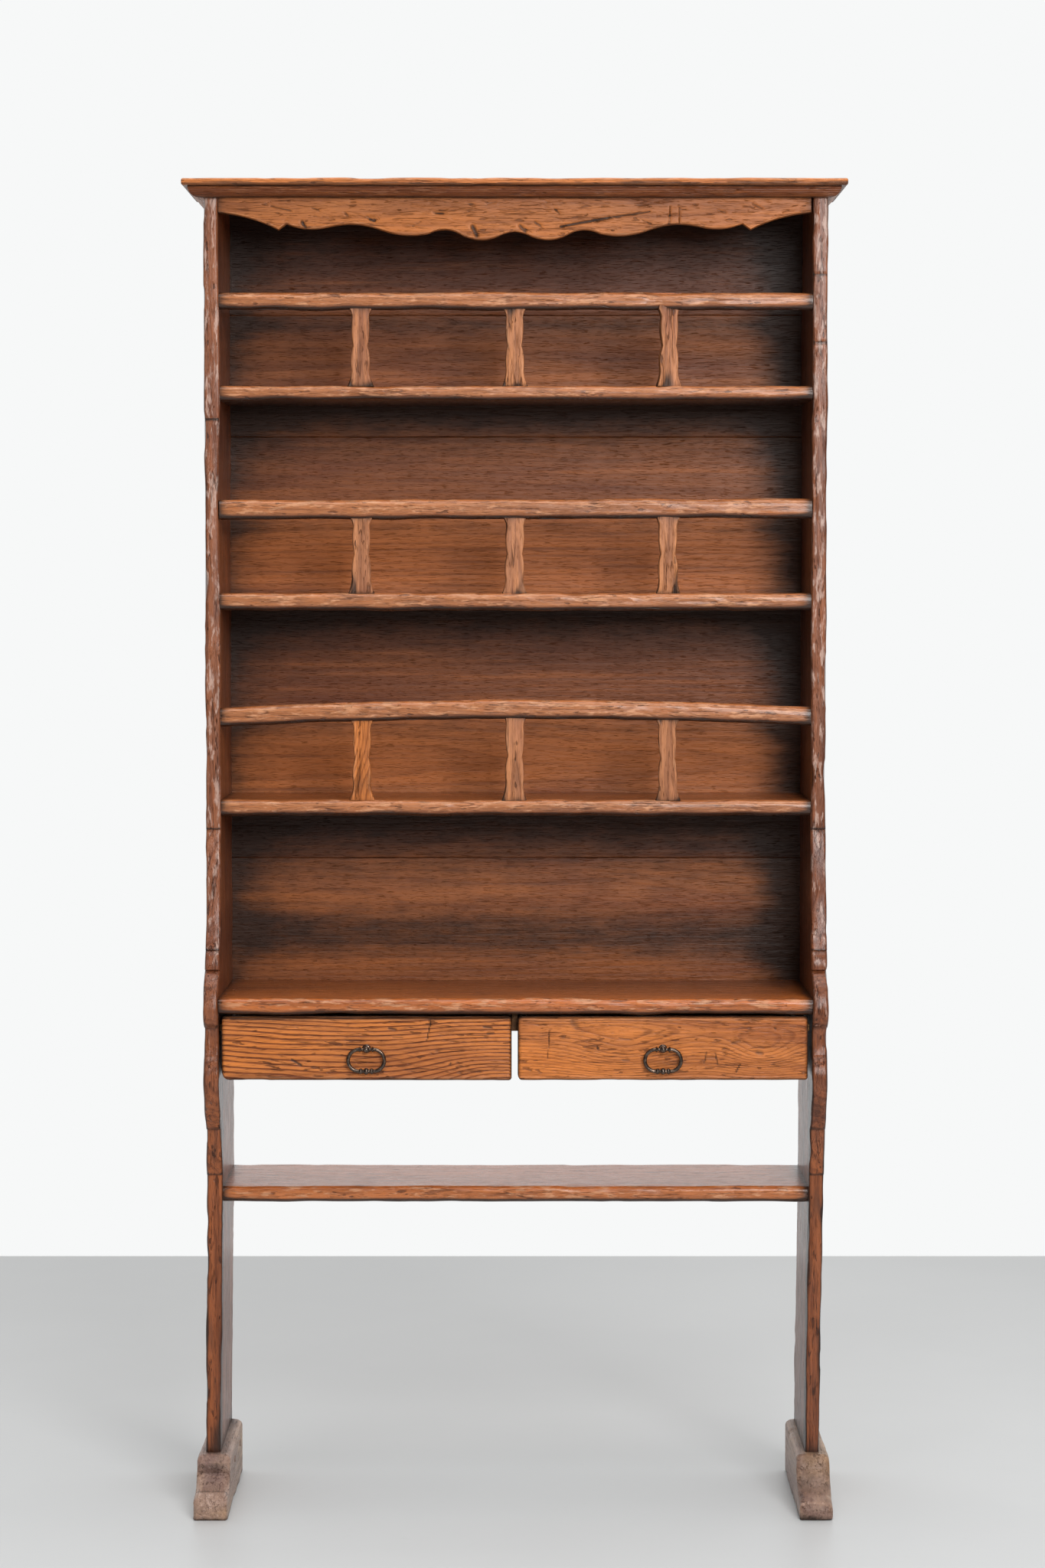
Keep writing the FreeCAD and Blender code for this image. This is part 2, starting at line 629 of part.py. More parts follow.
def spindle(label, x, shelf, height, bow):
    """Flat spindle: flared ends, two swellings and a notched waist, with a stub tenon above and below."""
    body = new_body(label)
    foot_z = f"({shelf} + spindle_ease)"
    head_z = f"({rail_underside(shelf, height, bow, x)} - spindle_ease)"
    waist_z = f"(({foot_z} + {head_z}) / 2)"
    half = {place: f"spindle_{place}_width / 2" for place in ("end", "neck", "waist", "tenon")}
    side = [
        (half["tenon"], f"({shelf} - spindle_tenon_depth)", "0"),
        (half["tenon"], foot_z, "0"),
        (half["end"], foot_z, "-spindle_flare"),
        (half["neck"], f"({foot_z} + spindle_neck_rise)", "spindle_bulge"),
        (half["waist"], waist_z, "spindle_bulge"),
        (half["neck"], f"({head_z} - spindle_neck_rise)", "-spindle_flare"),
        (half["end"], head_z, "0"),
        (half["tenon"], head_z, "0"),
        (half["tenon"], f"({head_z} + spindle_ease + spindle_tenon_depth)", "0"),
    ]
    outline = [(f"({x}) + {w}", z, swell) for w, z, swell in side]
    swells = [corner[2] for corner in side]
    for i in range(len(side) - 1, -1, -1):
        outline.append((f"({x}) - {side[i][0]}", side[i][1], swells[i - 1] if i else "0"))
    extrude(body, "Pad", "XZ_Plane", f"({RAIL_MIDDLE} - spindle_thickness / 2)",
            f"({RAIL_MIDDLE} + spindle_thickness / 2)", outline)


def galleries():
    for prefix, shelf, thickness, rail, height, bow in GALLERIES:
        board = housed_board(f"{prefix}_plate_shelf", plate_shelf_board(shelf, thickness))
        mortise_base = f"({shelf} - spindle_tenon_depth)"
        extrude(board, "Pocket", "XY_Plane", mortise_base, shelf, *spindle_tenons())
        gallery_rail(f"{prefix}_gallery_rail", shelf, rail, height, bow)
        for place, x in SPINDLES:
            spindle(f"{prefix}_{place}_spindle", x, shelf, height, bow)


def back_boards():
    """Horizontal boards in the side boards' rebates, half-lapped so that no joint opens right through."""
    joints = ("(counter_height + joint_above_counter)", f"({LOWER_SHELF} + joint_above_lower_shelf)",
              f"({MIDDLE_SHELF} - joint_below_middle_shelf)", f"({UPPER_SHELF} - joint_below_upper_shelf)",
              f"({UPPER_SHELF} + joint_above_upper_shelf)")
    end = f"({INNER} + back_rebate - back_end_gap)"
    mid_depth = f"({BACK} - back_thickness / 2)"
    levels = (COUNTER_BASE,) + joints + (CASE_TOP,)
    count = len(levels) - 1
    for i in range(count):
        base, top = levels[i], levels[i + 1]
        lower = [(BACK_FACE, base), (BACK, base)]
        if i > 0:
            step = f"({base} + back_lap)"
            lower = [(BACK_FACE, base), (mid_depth, base), (mid_depth, step), (BACK, step)]
        upper = [(BACK, top), (BACK_FACE, top)]
        if i < count - 1:
            rest, step = f"({top} - back_joint_gap)", f"({top} + back_lap - back_joint_gap)"
            upper = [(BACK, step), (mid_depth, step), (mid_depth, rest), (BACK_FACE, rest)]
        body = new_body(f"back_board_{count - i}")
        extrude(body, "Pad", "YZ_Plane", f"-{end}", end, lower + upper)


def drawer_runners():
    """Strips on the side boards and a T-shaped runner under the counter, which carry the drawers."""
    reach = "(drawer_side_gap + drawer_side_inset + groove_depth - slide_clearance)"
    for label, sign in (("left_drawer_runner", -1), ("right_drawer_runner", 1)):
        low_x, high_x = mirrored(sign, f"({INNER} - {reach})", INNER)
        pieces.append(new_box(label, (low_x, RUNNER_FRONT, RUNNER_BASE), (high_x, DRAWER_END, RUNNER_TOP)))
    body = new_body("centre_drawer_runner")
    stem = "(runner_stem / 2)"
    flange = "(drawer_centre_gap / 2 + drawer_side_inset + groove_depth - slide_clearance)"
    outline = [(f"-{flange}", RUNNER_BASE), (flange, RUNNER_BASE), (flange, RUNNER_TOP), (stem, RUNNER_TOP),
               (stem, COUNTER_BASE), (f"-{stem}", COUNTER_BASE), (f"-{stem}", RUNNER_TOP),
               (f"-{flange}", RUNNER_TOP)]
    extrude(body, "Pad", "XZ_Plane", RUNNER_FRONT, DRAWER_END, outline)


def drawer(prefix, sign):
    """Drawer with a lapped front, grooved sides that run on the runners, and a bottom nailed on below."""
    low, high = mirrored(sign, DRAWER_NEAR, DRAWER_FAR)
    centre = f"(({low} + {high}) / 2)"
    lap_front = f"({DRAWER_INSIDE} - drawer_lap)"
    front = new_body(f"{prefix}_drawer_front")
    extrude(front, "Pad", "XZ_Plane", DRAWER_FACE, DRAWER_INSIDE,
            rectangle(low, high, DRAWER_BASE, DRAWER_TOP))
    face = number(DRAWER_FACE)
    round_edges(front, "drawer_front_rounding", lambda point, edge: abs(point.y - face) < 0.01)
    width = "(drawer_side_inset + drawer_side_thickness)"
    extrude(front, "Pocket", "XZ_Plane", lap_front, DRAWER_INSIDE,
            rectangle(low, f"({low} + {width})", SIDE_BASE, SIDE_TOP),
            rectangle(f"({high} - {width})", high, SIDE_BASE, SIDE_TOP))
    extrude(front, "Pocket", "XZ_Plane", DRAWER_FACE, DRAWER_INSIDE,
            circle(centre, EYE_HEIGHT, "post_shank_radius"))

    groove = rectangle(DRAWER_INSIDE, DRAWER_END, f"({RUNNER_BASE} - slide_clearance)",
                       f"({RUNNER_TOP} + slide_clearance)")
    inner_low, inner_high = f"({low} + {width})", f"({high} - {width})"
    outer_low, outer_high = f"({low} + drawer_side_inset)", f"({high} - drawer_side_inset)"
    board = rectangle(lap_front, DRAWER_END, SIDE_BASE, SIDE_TOP)
    left = new_body(f"{prefix}_drawer_left_side")
    extrude(left, "Pad", "YZ_Plane", outer_low, inner_low, board)
    extrude(left, "Pocket", "YZ_Plane", outer_low, f"({outer_low} + groove_depth)", groove)
    right = new_body(f"{prefix}_drawer_right_side")
    extrude(right, "Pad", "YZ_Plane", inner_high, outer_high, board)
    extrude(right, "Pocket", "YZ_Plane", f"({outer_high} - groove_depth)", outer_high, groove)
    pieces.append(new_box(f"{prefix}_drawer_back",
                          (inner_low, f"({DRAWER_END} - drawer_side_thickness)", SIDE_BASE),
                          (inner_high, DRAWER_END, SIDE_TOP)))
    pieces.append(new_box(f"{prefix}_drawer_bottom",
                          (outer_low, DRAWER_INSIDE, f"({DRAWER_BASE} + drawer_bottom_rise)"),
                          (outer_high, DRAWER_END, SIDE_BASE)))
    pull(prefix, centre)


def pull(prefix, x):
    """Drop ring on an eyed post, whose shank goes through the drawer front to a square nut."""
    pull_post(f"{prefix}_pull_post", x)
    half = "pull_nut_width / 2"
    nut = new_body(f"{prefix}_pull_nut")
    extrude(nut, "Pad", "XZ_Plane", DRAWER_INSIDE, f"({DRAWER_INSIDE} + pull_nut_thickness)",
            rectangle(f"({x} - {half})", f"({x} + {half})", f"({EYE_HEIGHT} - {half})", f"({EYE_HEIGHT} + {half})"),
            circle(x, EYE_HEIGHT, "post_shank_radius"))
    pull_ring(f"{prefix}_pull_ring", x)


def pull_post(label, x):
    """Turned post: shank, domed rosette, stem and a ball bored through for the ring."""
    body = new_body(label)
    tail = f"({DRAWER_INSIDE} + pull_nut_thickness)"
    tip = f"({EYE_DEPTH} - eye_radius)"
    root = f"({EYE_DEPTH} + sqrt(eye_radius^2 - post_stem_radius^2))"
    half_chord = f"(sqrt(({root} - {tip})^2 + post_stem_radius^2) / 2)"
    ball = f"(eye_radius - sqrt(eye_radius^2 - {half_chord}^2))"
    outline = [
        (tip, "0"),
        (tail, "0"),
        (tail, "post_shank_radius"),
        (DRAWER_FACE, "post_shank_radius"),
        (DRAWER_FACE, "post_rosette_radius"),
        (f"({DRAWER_FACE} - post_rosette_edge)", "post_rosette_radius", "post_rosette_dome"),
        (f"({DRAWER_FACE} - post_rosette_thickness)", "post_stem_radius"),
        (root, "post_stem_radius", ball),
    ]
    revolve(body, "YZ_Plane", x, EYE_HEIGHT, outline)
    extrude(body, "Pocket", "YZ_Plane", f"({x} - eye_radius)", f"({x} + eye_radius)",
            circle(EYE_DEPTH, EYE_HEIGHT, "ring_wire_radius + eye_clearance"))


def pull_ring(label, x):
    """Wire bent to a long loop, with three beads below and a collar on each side of the eye."""
    body = new_body(label)
    left, right = f"({x} - ring_half_straight)", f"({x} + ring_half_straight)"
    middle_z = f"({EYE_HEIGHT} - ring_end_radius)"
    low_z = f"({EYE_HEIGHT} - 2 * ring_end_radius)"
    bend = f"ring_end_radius * {QUARTER_SWELL}"
    loop = [
        (left, EYE_HEIGHT),
        (right, EYE_HEIGHT, bend),
        (f"({right} + ring_end_radius)", middle_z, bend),
        (right, low_z),
        (left, low_z, bend),
        (f"({left} - ring_end_radius)", middle_z, bend),
    ]
    spine = new_sketch(body, "XZ_Plane", EYE_DEPTH, loop)
    section = new_sketch(body, "YZ_Plane", left, circle(EYE_DEPTH, EYE_HEIGHT, "ring_wire_radius"))
    wire = body.newObject("PartDesign::AdditivePipe", f"{label}_wire")
    wire.Profile = section
    wire.Spine = (spine, [f"Edge{i}" for i in range(1, len(loop) + 1)])

    lip = "ring_wire_radius + ring_bead_lip"
    half = "ring_bead_length / 2"
    end = f"({half} + ring_side_bead_length)"
    beads = [
        (f"{x} - {end}", "0"),
        (f"{x} + {end}", "0"),
        (f"{x} + {end}", lip, "ring_side_bead_swell"),
        (f"{x} + {half}", lip, "ring_bead_swell"),
        (f"{x} - {half}", lip, "ring_side_bead_swell"),
        (f"{x} - {end}", lip),
    ]
    revolve(body, "XZ_Plane", EYE_DEPTH, low_z, beads)
    near = "(eye_radius + eye_end_play)"
    collars = []
    for sign in (-1, 1):
        low, high = mirrored(sign, near, f"({near} + ring_collar_length)")
        collars.append(rectangle(f"{x} + {low}", f"{x} + {high}", "0", "ring_collar_radius"))
    revolve(body, "XZ_Plane", EYE_DEPTH, EYE_HEIGHT, *collars)


for side, sign in (("left", -1), ("right", 1)):
    side_board(f"{side}_side_board", sign)
    foot(f"{side}_foot", sign)
    foot_pegs(f"{side}_foot_pegs", sign)
cornice()
valance()
galleries()
housed_board("counter_shelf", COUNTER)
housed_board("stretcher_shelf", STRETCHER)
back_boards()
drawer_runners()
drawer("left", -1)
drawer("right", 1)
doc.recompute()

# Every object has to have come out whole, and every pocket has to have cut something
failed = [obj.Name for obj in doc.Objects if "Invalid" in obj.State or "Error" in obj.State]
failed += [piece.Label for piece in pieces if piece.Shape.isNull() or not piece.Shape.isValid()]
failed += [p.Name for p in pockets if p.Shape.Volume > p.BaseFeature.Shape.Volume - 1.0]
if failed:
    raise RuntimeError(f"these did not come out whole: {failed}")

os.makedirs("parts", exist_ok=True)
for piece in pieces:
    piece.Shape.exportStep(f"parts/{piece.Label}.step")
print(len(pieces), "pieces written")
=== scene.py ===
"""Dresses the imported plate-rack dresser: hand-worn oak boards, iron ring pulls, nails and a plain stage."""

import json
import math
import random
from functools import partialmethod

import bmesh
import bpy
from bpy.props import FloatProperty, FloatVectorProperty, PointerProperty
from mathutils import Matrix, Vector, noise


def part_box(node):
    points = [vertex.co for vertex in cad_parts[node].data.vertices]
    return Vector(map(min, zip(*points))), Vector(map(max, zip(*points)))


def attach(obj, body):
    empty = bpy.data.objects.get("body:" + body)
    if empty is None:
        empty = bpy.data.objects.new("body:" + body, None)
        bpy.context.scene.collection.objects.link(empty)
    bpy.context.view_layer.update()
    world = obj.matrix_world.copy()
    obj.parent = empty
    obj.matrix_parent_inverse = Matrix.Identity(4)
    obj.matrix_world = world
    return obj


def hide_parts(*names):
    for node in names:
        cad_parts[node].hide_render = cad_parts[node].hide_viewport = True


bl_info = {
    "name": "Plate-rack dresser",
    "version": (1, 0, 0),
    "blender": (4, 5, 0),
    "location": "3D View > Sidebar > Dresser",
    "description": "Builds the worn oak boards, ironwork and stage of an open plate-rack dresser",
    "category": "Object",
}

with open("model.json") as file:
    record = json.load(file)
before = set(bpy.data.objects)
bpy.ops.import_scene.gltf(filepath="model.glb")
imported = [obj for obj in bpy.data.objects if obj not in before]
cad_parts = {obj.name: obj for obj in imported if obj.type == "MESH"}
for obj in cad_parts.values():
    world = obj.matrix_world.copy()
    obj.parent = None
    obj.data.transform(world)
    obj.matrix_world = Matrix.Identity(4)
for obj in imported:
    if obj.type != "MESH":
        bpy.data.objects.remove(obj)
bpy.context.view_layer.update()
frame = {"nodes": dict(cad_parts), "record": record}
RECORD = frame["record"]
BODY_OF = {node: body for body, nodes in RECORD["behaviour"]["bodies"].items() for node in nodes}
MM = 0.001
SIDES = (("left", -1), ("right", 1))
LEVELS = ("upper", "middle", "lower")
PLATE_SHELVES = [f"{level}_plate_shelf" for level in LEVELS]
BACK_BOARDS = [f"back_board_{i}" for i in range(1, 7)]


def srgb(red, green, blue):
    """Linear colour for a display colour given in 0 to 255."""
    shares = [c / 255 for c in (red, green, blue)]
    return tuple(c / 12.92 if c < 0.0404 else ((c + 0.055) / 1.055) ** 2.4 for c in shares)


def colour(name, description, *display):
    return FloatVectorProperty(name=name, description=description, default=srgb(*display), size=3,
                               min=0, max=1, subtype="COLOR")


def length(name, description, millimetres):
    return FloatProperty(name=name, description=description, default=millimetres * MM, min=0,
                         unit="LENGTH", precision=4)


class DresserSizes(bpy.types.PropertyGroup):
    """Sizes of the wear and rounding that the plain solids do not carry"""
    edge_wave: length("Edge wave", "How far a worn edge wanders from a straight line", 0.9)
    face_wave: length("Face wave", "How far a planed face rises and falls", 0.35)
    chip_depth: length("Chip depth", "Depth of the knocks along an edge", 2.2)
    nose_rounding: length("Shelf nose rounding", "Rounding of the shelves' upper front edges", 8.0)
    under_rounding: length("Shelf under rounding", "Rounding of the shelves' lower front edges", 9.0)
    rail_rounding: length("Rail rounding", "Rounding of the plate rails' edges", 9.0)
    side_rounding: length("Side board rounding", "Rounding of the side boards' front edges", 3.5)
    foot_rounding: length("Foot rounding", "Rounding of the feet's upper edges", 8.0)
    drawer_rounding: length("Drawer rounding", "Rounding of the drawer fronts' edges", 4.5)
    left_lean: length("Left leg lean", "How far the left leg leans to the left at its foot", 6.0)
    right_lean: length("Right leg lean", "How far the right leg leans to the left at its foot", 5.5)
    right_spread: length("Right spread", "How far the right side board stands off to the right", 3.0)
    rail_bow: length("Lower rail bow", "Rise of the bowed lower plate rail in its middle", 11.0)
    ring_wire: length("Ring wire", "Radius of the ring pulls' hammered wire", 2.8)
    nail_size: length("Nail head", "Radius of the nail heads", 2.6)


class DresserFinish(bpy.types.PropertyGroup):
    """Colours of the woods and of the iron"""
    frame_oak: colour("Side boards", "Waxed oak of the side boards", 142, 80, 46)
    crown_oak: colour("Valance and cornice", "Waxed oak of the valance and cornice", 174, 104, 54)
    shelf_oak: colour("Shelves and rails", "Waxed oak of the shelves and plate rails", 164, 92, 46)
    back_oak: colour("Back boards", "Dark waxed oak of the back boards", 170, 102, 57)
    spindle_oak: colour("Spindles", "Dry pale oak of the spindles", 190, 126, 86)
    drawer_oak: colour("Drawer fronts", "Golden oak of the drawer fronts", 203, 121, 60)
    foot_oak: colour("Feet", "Scuffed greyed oak of the feet", 160, 131, 115)
    lining_wood: colour("Drawer linings", "Dry softwood inside the drawers", 156, 118, 80)
    # These rubbed colours also give the pale flecks that partly paint highlights
    worn_oak: colour("Rubbed edges", "Bare wood where the wax is rubbed off", 198, 135, 92)
    worn_pale: colour("Pale rubbed wood", "Bare wood of the scuffed toes and side edges", 196, 160, 138)
    grime_and_shade: colour("Grime", "Old wax and dirt in corners and knocks", 38, 24, 17)
    # This dark colour paints dirty wax and also painted shade in corners, under shelves and on faces turned
    # from the light
    iron: colour("Iron", "Forged iron of the pulls and nails", 84, 73, 66)
    floor: colour("Floor", "Plain pale floor", 206, 207, 207)


# Shader building

class Field:
    """A shader socket that takes part in Python arithmetic."""

    def __init__(self, finish, socket):
        self.finish = finish
        self.socket = socket

    def maths(self, operation, *others):
        return self.finish.node("ShaderNodeMath", {"operation": operation}, [self, *others])

    __add__ = __radd__ = partialmethod(maths, "ADD")
    __mul__ = __rmul__ = partialmethod(maths, "MULTIPLY")
    __sub__ = partialmethod(maths, "SUBTRACT")
    __truediv__ = partialmethod(maths, "DIVIDE")
    __pow__ = partialmethod(maths, "POWER")

    def __rsub__(self, other):
        return self.finish.node("ShaderNodeMath", {"operation": "SUBTRACT"}, [other, self])

    def within(self, low, high):
        """0 below low, 1 above high and a smooth step between."""
        return self.finish.node("ShaderNodeMapRange", {"interpolation_type": "SMOOTHSTEP"},
                                {"Value": self, "From Min": low, "From Max": high})


class Finish:
    """The node tree of a material or world under construction."""

    def __init__(self, owner):
        self.owner = owner
        owner.use_nodes = True
        self.tree = owner.node_tree
        self.tree.nodes.clear()

    def node(self, kind, settings=None, sockets=None, out=0):
        """Adds a node: its settings first, then the values or links of its sockets."""
        made = self.tree.nodes.new(kind)
        for key, value in (settings or {}).items():
            setattr(made, key, value)
        pairs = sockets.items() if isinstance(sockets, dict) else enumerate(sockets or ())
        for key, value in pairs:
            if isinstance(value, Field):
                self.tree.links.new(value.socket, made.inputs[key])
            else:
                made.inputs[key].default_value = value
        return Field(self, made.outputs[out]) if made.outputs else None

    def attribute(self, name, out):
        return self.node("ShaderNodeAttribute", {"attribute_name": name}, out=out)

    def cloud(self, vector, factors, detail=2.0, roughness=0.5, seed=0.0):
        """Noise between 0 and 1 on a vector stretched by the given factors."""
        place = self.node("ShaderNodeVectorMath", {"operation": "MULTIPLY"}, [vector, factors])
        sockets = {"Vector": place, "W": seed, "Scale": 1.0, "Detail": detail, "Roughness": roughness}
        return self.node("ShaderNodeTexNoise", {"noise_dimensions": "4D"}, sockets, out="Fac")

    def blend(self, amount, first, second):
        """Mixes two colours."""
        sockets = {0: amount, 6: first, 7: second}
        for key in (6, 7):
            if not isinstance(sockets[key], Field) and len(sockets[key]) == 3:
                sockets[key] = (*sockets[key], 1.0)
        return self.node("ShaderNodeMix", {"data_type": "RGBA"}, sockets, out=2)

    def surface(self, base, roughness, height=None, depth=1.0, metallic=None, **constants):
        """Ends the material in a principled surface, with the bump that a height gives."""
        sockets = {"Base Color": base, "Roughness": roughness}
        if height is not None:
            bump = {"Height": height, "Strength": 1.0, "Distance": depth}
            sockets["Normal"] = self.node("ShaderNodeBump", {}, bump)
        if metallic is not None:
            sockets["Metallic"] = metallic
        sockets.update({key.replace("_", " "): value for key, value in constants.items()})
        shaded = self.node("ShaderNodeBsdfPrincipled", {}, sockets)
        self.node("ShaderNodeOutputMaterial", {}, {"Surface": shaded})
        return self.owner


def toned(tone, *factors):
    """A colour times one factor, or times one factor for each channel."""
    return tuple(min(1.0, c * f) for c, f in zip(tone, factors * (3 // len(factors))))


def oak(name, tone, palette, ring=0.005, pith=(0.0, 0.05), humps=(), figure=0.5, streak=0.5, fibre=0.5,
        blotch=0.5, knocks=0.3, wear=0.5, polish=0.3, gloss=0.36, coat=0.0, seed=0.0):
    """Worn, waxed oak on a board's own grain.

    ring is the spacing of the growth rings and pith where their middle lies, across the board and behind
    it. humps (along, across, length, width, lift) bend the rings round a knot or a heart. The other numbers
    are strengths."""
    finish = Finish(bpy.data.materials.new(name))
    grain = finish.attribute("grain", "Vector")
    board, edge, dirt_and_shade, tint = (finish.attribute(key, "Fac") for key in ("board", "wear", "stain", "tint"))
    along, across, through = (finish.node("ShaderNodeSeparateXYZ", {}, [grain], out=axis) for axis in "XYZ")

    def cloud(kind, *factors, detail=3.0, rough=0.55):
        return finish.cloud(grain, factors, detail, rough, board + (seed + 13.0 * kind))

    # Growth rings
    drift = cloud(1, 1.3, 5, 5) - 0.5
    sway = cloud(2, 7, 30, 30) - 0.5
    width = across - pith[0] + drift * 0.05
    depth = through + pith[1] + along * 0.02 + drift * 0.03
    distance = (width * width + depth * depth) ** 0.5 + sway * 0.006
    for s, a, reach, breadth, lift in humps:
        u, v = (along - s) / reach, (across - a) / breadth
        distance = distance - lift * (0 - u * u - v * v).maths("EXPONENT")
    ramp = (distance / ring).maths("FRACT")
    late = ramp.within(0.45, 0.85) * (1 - ramp.within(0.90, 1.0))

    # Patches, streaks, fibres, pores and cracks, from coarse to fine
    patch = cloud(3, 2.4, 14, 14, detail=4.0)
    streaks = cloud(4, 2.4, 75, 75, detail=4.0, rough=0.65)
    hair = cloud(5, 12, 230, 230, detail=4.0, rough=0.65)
    mottle = cloud(6, 24, 80, 80, rough=0.6)
    pores = cloud(7, 60, 1300, 1300, detail=1.0).within(0.60, 0.70)
    pits = cloud(8, 36, 140, 140, detail=2.0).within(0.64, 0.69)
    fleck = cloud(9, 34, 150, 150, rough=0.65)
    seam = (cloud(10, 8, 95, 95, detail=2.0) - 0.5).maths("ABSOLUTE")
    cracks = (1 - seam.within(0.004, 0.022)) * mottle.within(0.47, 0.60)

    # Layers of colour on the waxed wood, each an amount and a colour
    dark = toned(tone, 0.28, 0.19, 0.13)
    line = toned(tone, 0.13, 0.09, 0.07)
    light = toned(tone, 1.56, 1.48, 1.26)
    gold = toned(tone, 1.32, 1.22, 0.85)
    plum = toned(tone, 0.56, 0.48, 0.56)
    layers = [
        (patch.within(0.48, 0.66) * blotch, gold),
        ((1 - patch).within(0.48, 0.66) * blotch, plum),
        (edge * polish, palette["worn"]),
        # tint: the boards' own tones, and on some boards painted light and shade
        (tint.maths("MAXIMUM", 0.0), light),
        ((0 - tint).maths("MAXIMUM", 0.0), dark),
        (streaks.within(0.50, 0.70) * streak, dark),
        ((1 - streaks).within(0.50, 0.70) * streak * 0.6, light),
        (late * (0.25 + mottle * 1.5) * figure, dark),
        (hair.within(0.50, 0.68) * fibre, dark),
        ((1 - hair).within(0.52, 0.70) * fibre * 0.7, light),
        ((cracks + pits).maths("MINIMUM", 1.0) * knocks, line),
        (pores * (0.2 + 0.3 * fibre), line),
    ]
    # Bare wood where it is rubbed, its pale flecks partly painted highlights; then dirty wax and painted
    # shade in one dark colour
    rubbed = (edge * 0.35 + (fleck - 0.5) * 3.2 + (mottle - 0.5) * 1.4).within(0.35, 0.80)
    rubbed = rubbed * edge.within(0.05, 0.8) * (1 - dirt_and_shade) * wear
    layers.append((rubbed, toned(palette["worn"], 1.18, 1.28, 1.45)))
    soiled = (dirt_and_shade * 1.25 + (mottle - 0.5) * 0.6 * dirt_and_shade.within(0.0, 0.25)).within(0.10, 1.0)
    layers.append((soiled * 0.92, palette["grime_and_shade"]))
    base = tone
    for amount, hue in layers:
        base = finish.blend(amount, base, hue)

    roughness = gloss + (hair - 0.5) * 0.2 + (mottle - 0.5) * 0.2 + rubbed * 0.1
    relief = mottle * 0.6 - hair * 0.5 - late * (0.25 * figure) - pores * 0.3
    relief = relief - (cracks + pits) * knocks - soiled * 0.4 + fleck * edge * 0.6
    return finish.surface(base, roughness, relief, 0.0016, Coat_Weight=coat, Coat_Roughness=0.2,
                          Specular_IOR_Level=0.3)


RUST = srgb(70, 46, 32)


def forged_iron(name, tone):
    """Dark forged iron, rubbed bright in places, with a little rust."""
    finish = Finish(bpy.data.materials.new(name))
    place = finish.node("ShaderNodeTexCoord", out="Object")
    patch = finish.cloud(place, (160, 160, 160), 3.0, 0.6, 2.0)
    grit = finish.cloud(place, (900, 900, 900), 2.0, 0.6, 4.0)
    base = finish.blend(patch.within(0.45, 0.75), tone, toned(tone, 2.6, 2.3, 2.0))
    base = finish.blend((1 - patch).within(0.5, 0.75) * 0.7, base, RUST)
    roughness = 0.20 + (grit - 0.5) * 0.25 + (1 - patch) * 0.12
    return finish.surface(base, roughness, grit * 0.4 + patch * 0.6, 0.0003, metallic=0.8 + patch * 0.2)


def end_grain(name, tone):
    """Darkened end grain of the pegs."""
    finish = Finish(bpy.data.materials.new(name))
    place = finish.node("ShaderNodeTexCoord", out="Object")
    fleck = finish.cloud(place, (120, 900, 900), 3.0, 0.6, 1.0)
    base = finish.blend(fleck.within(0.3, 0.7), toned(tone, 0.35), toned(tone, 0.85))
    return finish.surface(base, 0.55 + (fleck - 0.5) * 0.2, fleck, 0.0005)


def plain_floor(name, tone):
    """Pale sealed floor with a faint cloudiness."""
    finish = Finish(bpy.data.materials.new(name))
    place = finish.node("ShaderNodeTexCoord", out="Object")
    patch = finish.cloud(place, (1.1, 1.1, 1.1), 4.0, 0.55, 6.0)
    speck = finish.cloud(place, (60, 60, 60), 2.0, 0.5, 8.0)
    base = finish.blend(patch.within(0.3, 0.7), toned(tone, 0.95), toned(tone, 1.03))
    base = finish.blend(speck.within(0.62, 0.75) * 0.12, base, toned(tone, 0.8))
    return finish.surface(base, 0.42 + (patch - 0.5) * 0.2)


WOODS = {}
WOOD_LOOKS = {
    "frame_oak": dict(ring=0.006, pith=(0.05, 0.04), figure=0.4, streak=0.6, fibre=0.6, wear=0.6,
                      polish=0.1, blotch=0.8, knocks=0.7, coat=0.2),
    "crown_oak": dict(ring=0.007, pith=(0.01, 0.05), figure=0.3, streak=0.35, fibre=0.45, wear=0.4,
                      blotch=0.6, knocks=0.55, gloss=0.42),
    "shelf_oak": dict(ring=0.006, pith=(0.02, 0.05), figure=0.25, streak=0.35, fibre=0.45, wear=0.8,
                      polish=0.7, blotch=0.7, knocks=0.6, gloss=0.30, coat=0.35),
    "back_oak": dict(ring=0.009, pith=(0.03, 0.06), figure=0.25, fibre=0.12, wear=0.1, polish=0.0,
                     blotch=0.8, knocks=0.08, gloss=0.44),
    "spindle_oak": dict(pith=(0.004, 0.03), figure=0.4, streak=0.55, polish=0.2, blotch=0.9, knocks=0.7,
                        gloss=0.45),
    "left_drawer_oak": dict(ring=0.0058, pith=(-0.075, 0.05), figure=1.0, streak=0.45, fibre=0.35,
                            wear=0.25, blotch=0.6, knocks=0.7, gloss=0.38,
                            humps=((0.01, -0.03, 0.17, 0.06, -0.010), (0.19, -0.05, 0.085, 0.04, 0.022))),
    "right_drawer_oak": dict(pith=(0.03, 0.02), streak=0.4, fibre=0.4, wear=0.25, blotch=0.7, knocks=0.6,
                             gloss=0.38, humps=((0.146, -0.006, 0.05, 0.03, 0.022),
                                                (-0.06, -0.01, 0.07, 0.035, 0.022))),
    "foot_oak": dict(ring=0.006, figure=0.08, streak=0.35, fibre=0.45, polish=0.5, blotch=0.8, knocks=0.5,
                     gloss=0.4),
    "lining_wood": dict(streak=0.3, wear=0.2, polish=0.1, blotch=0.2, gloss=0.65),
}


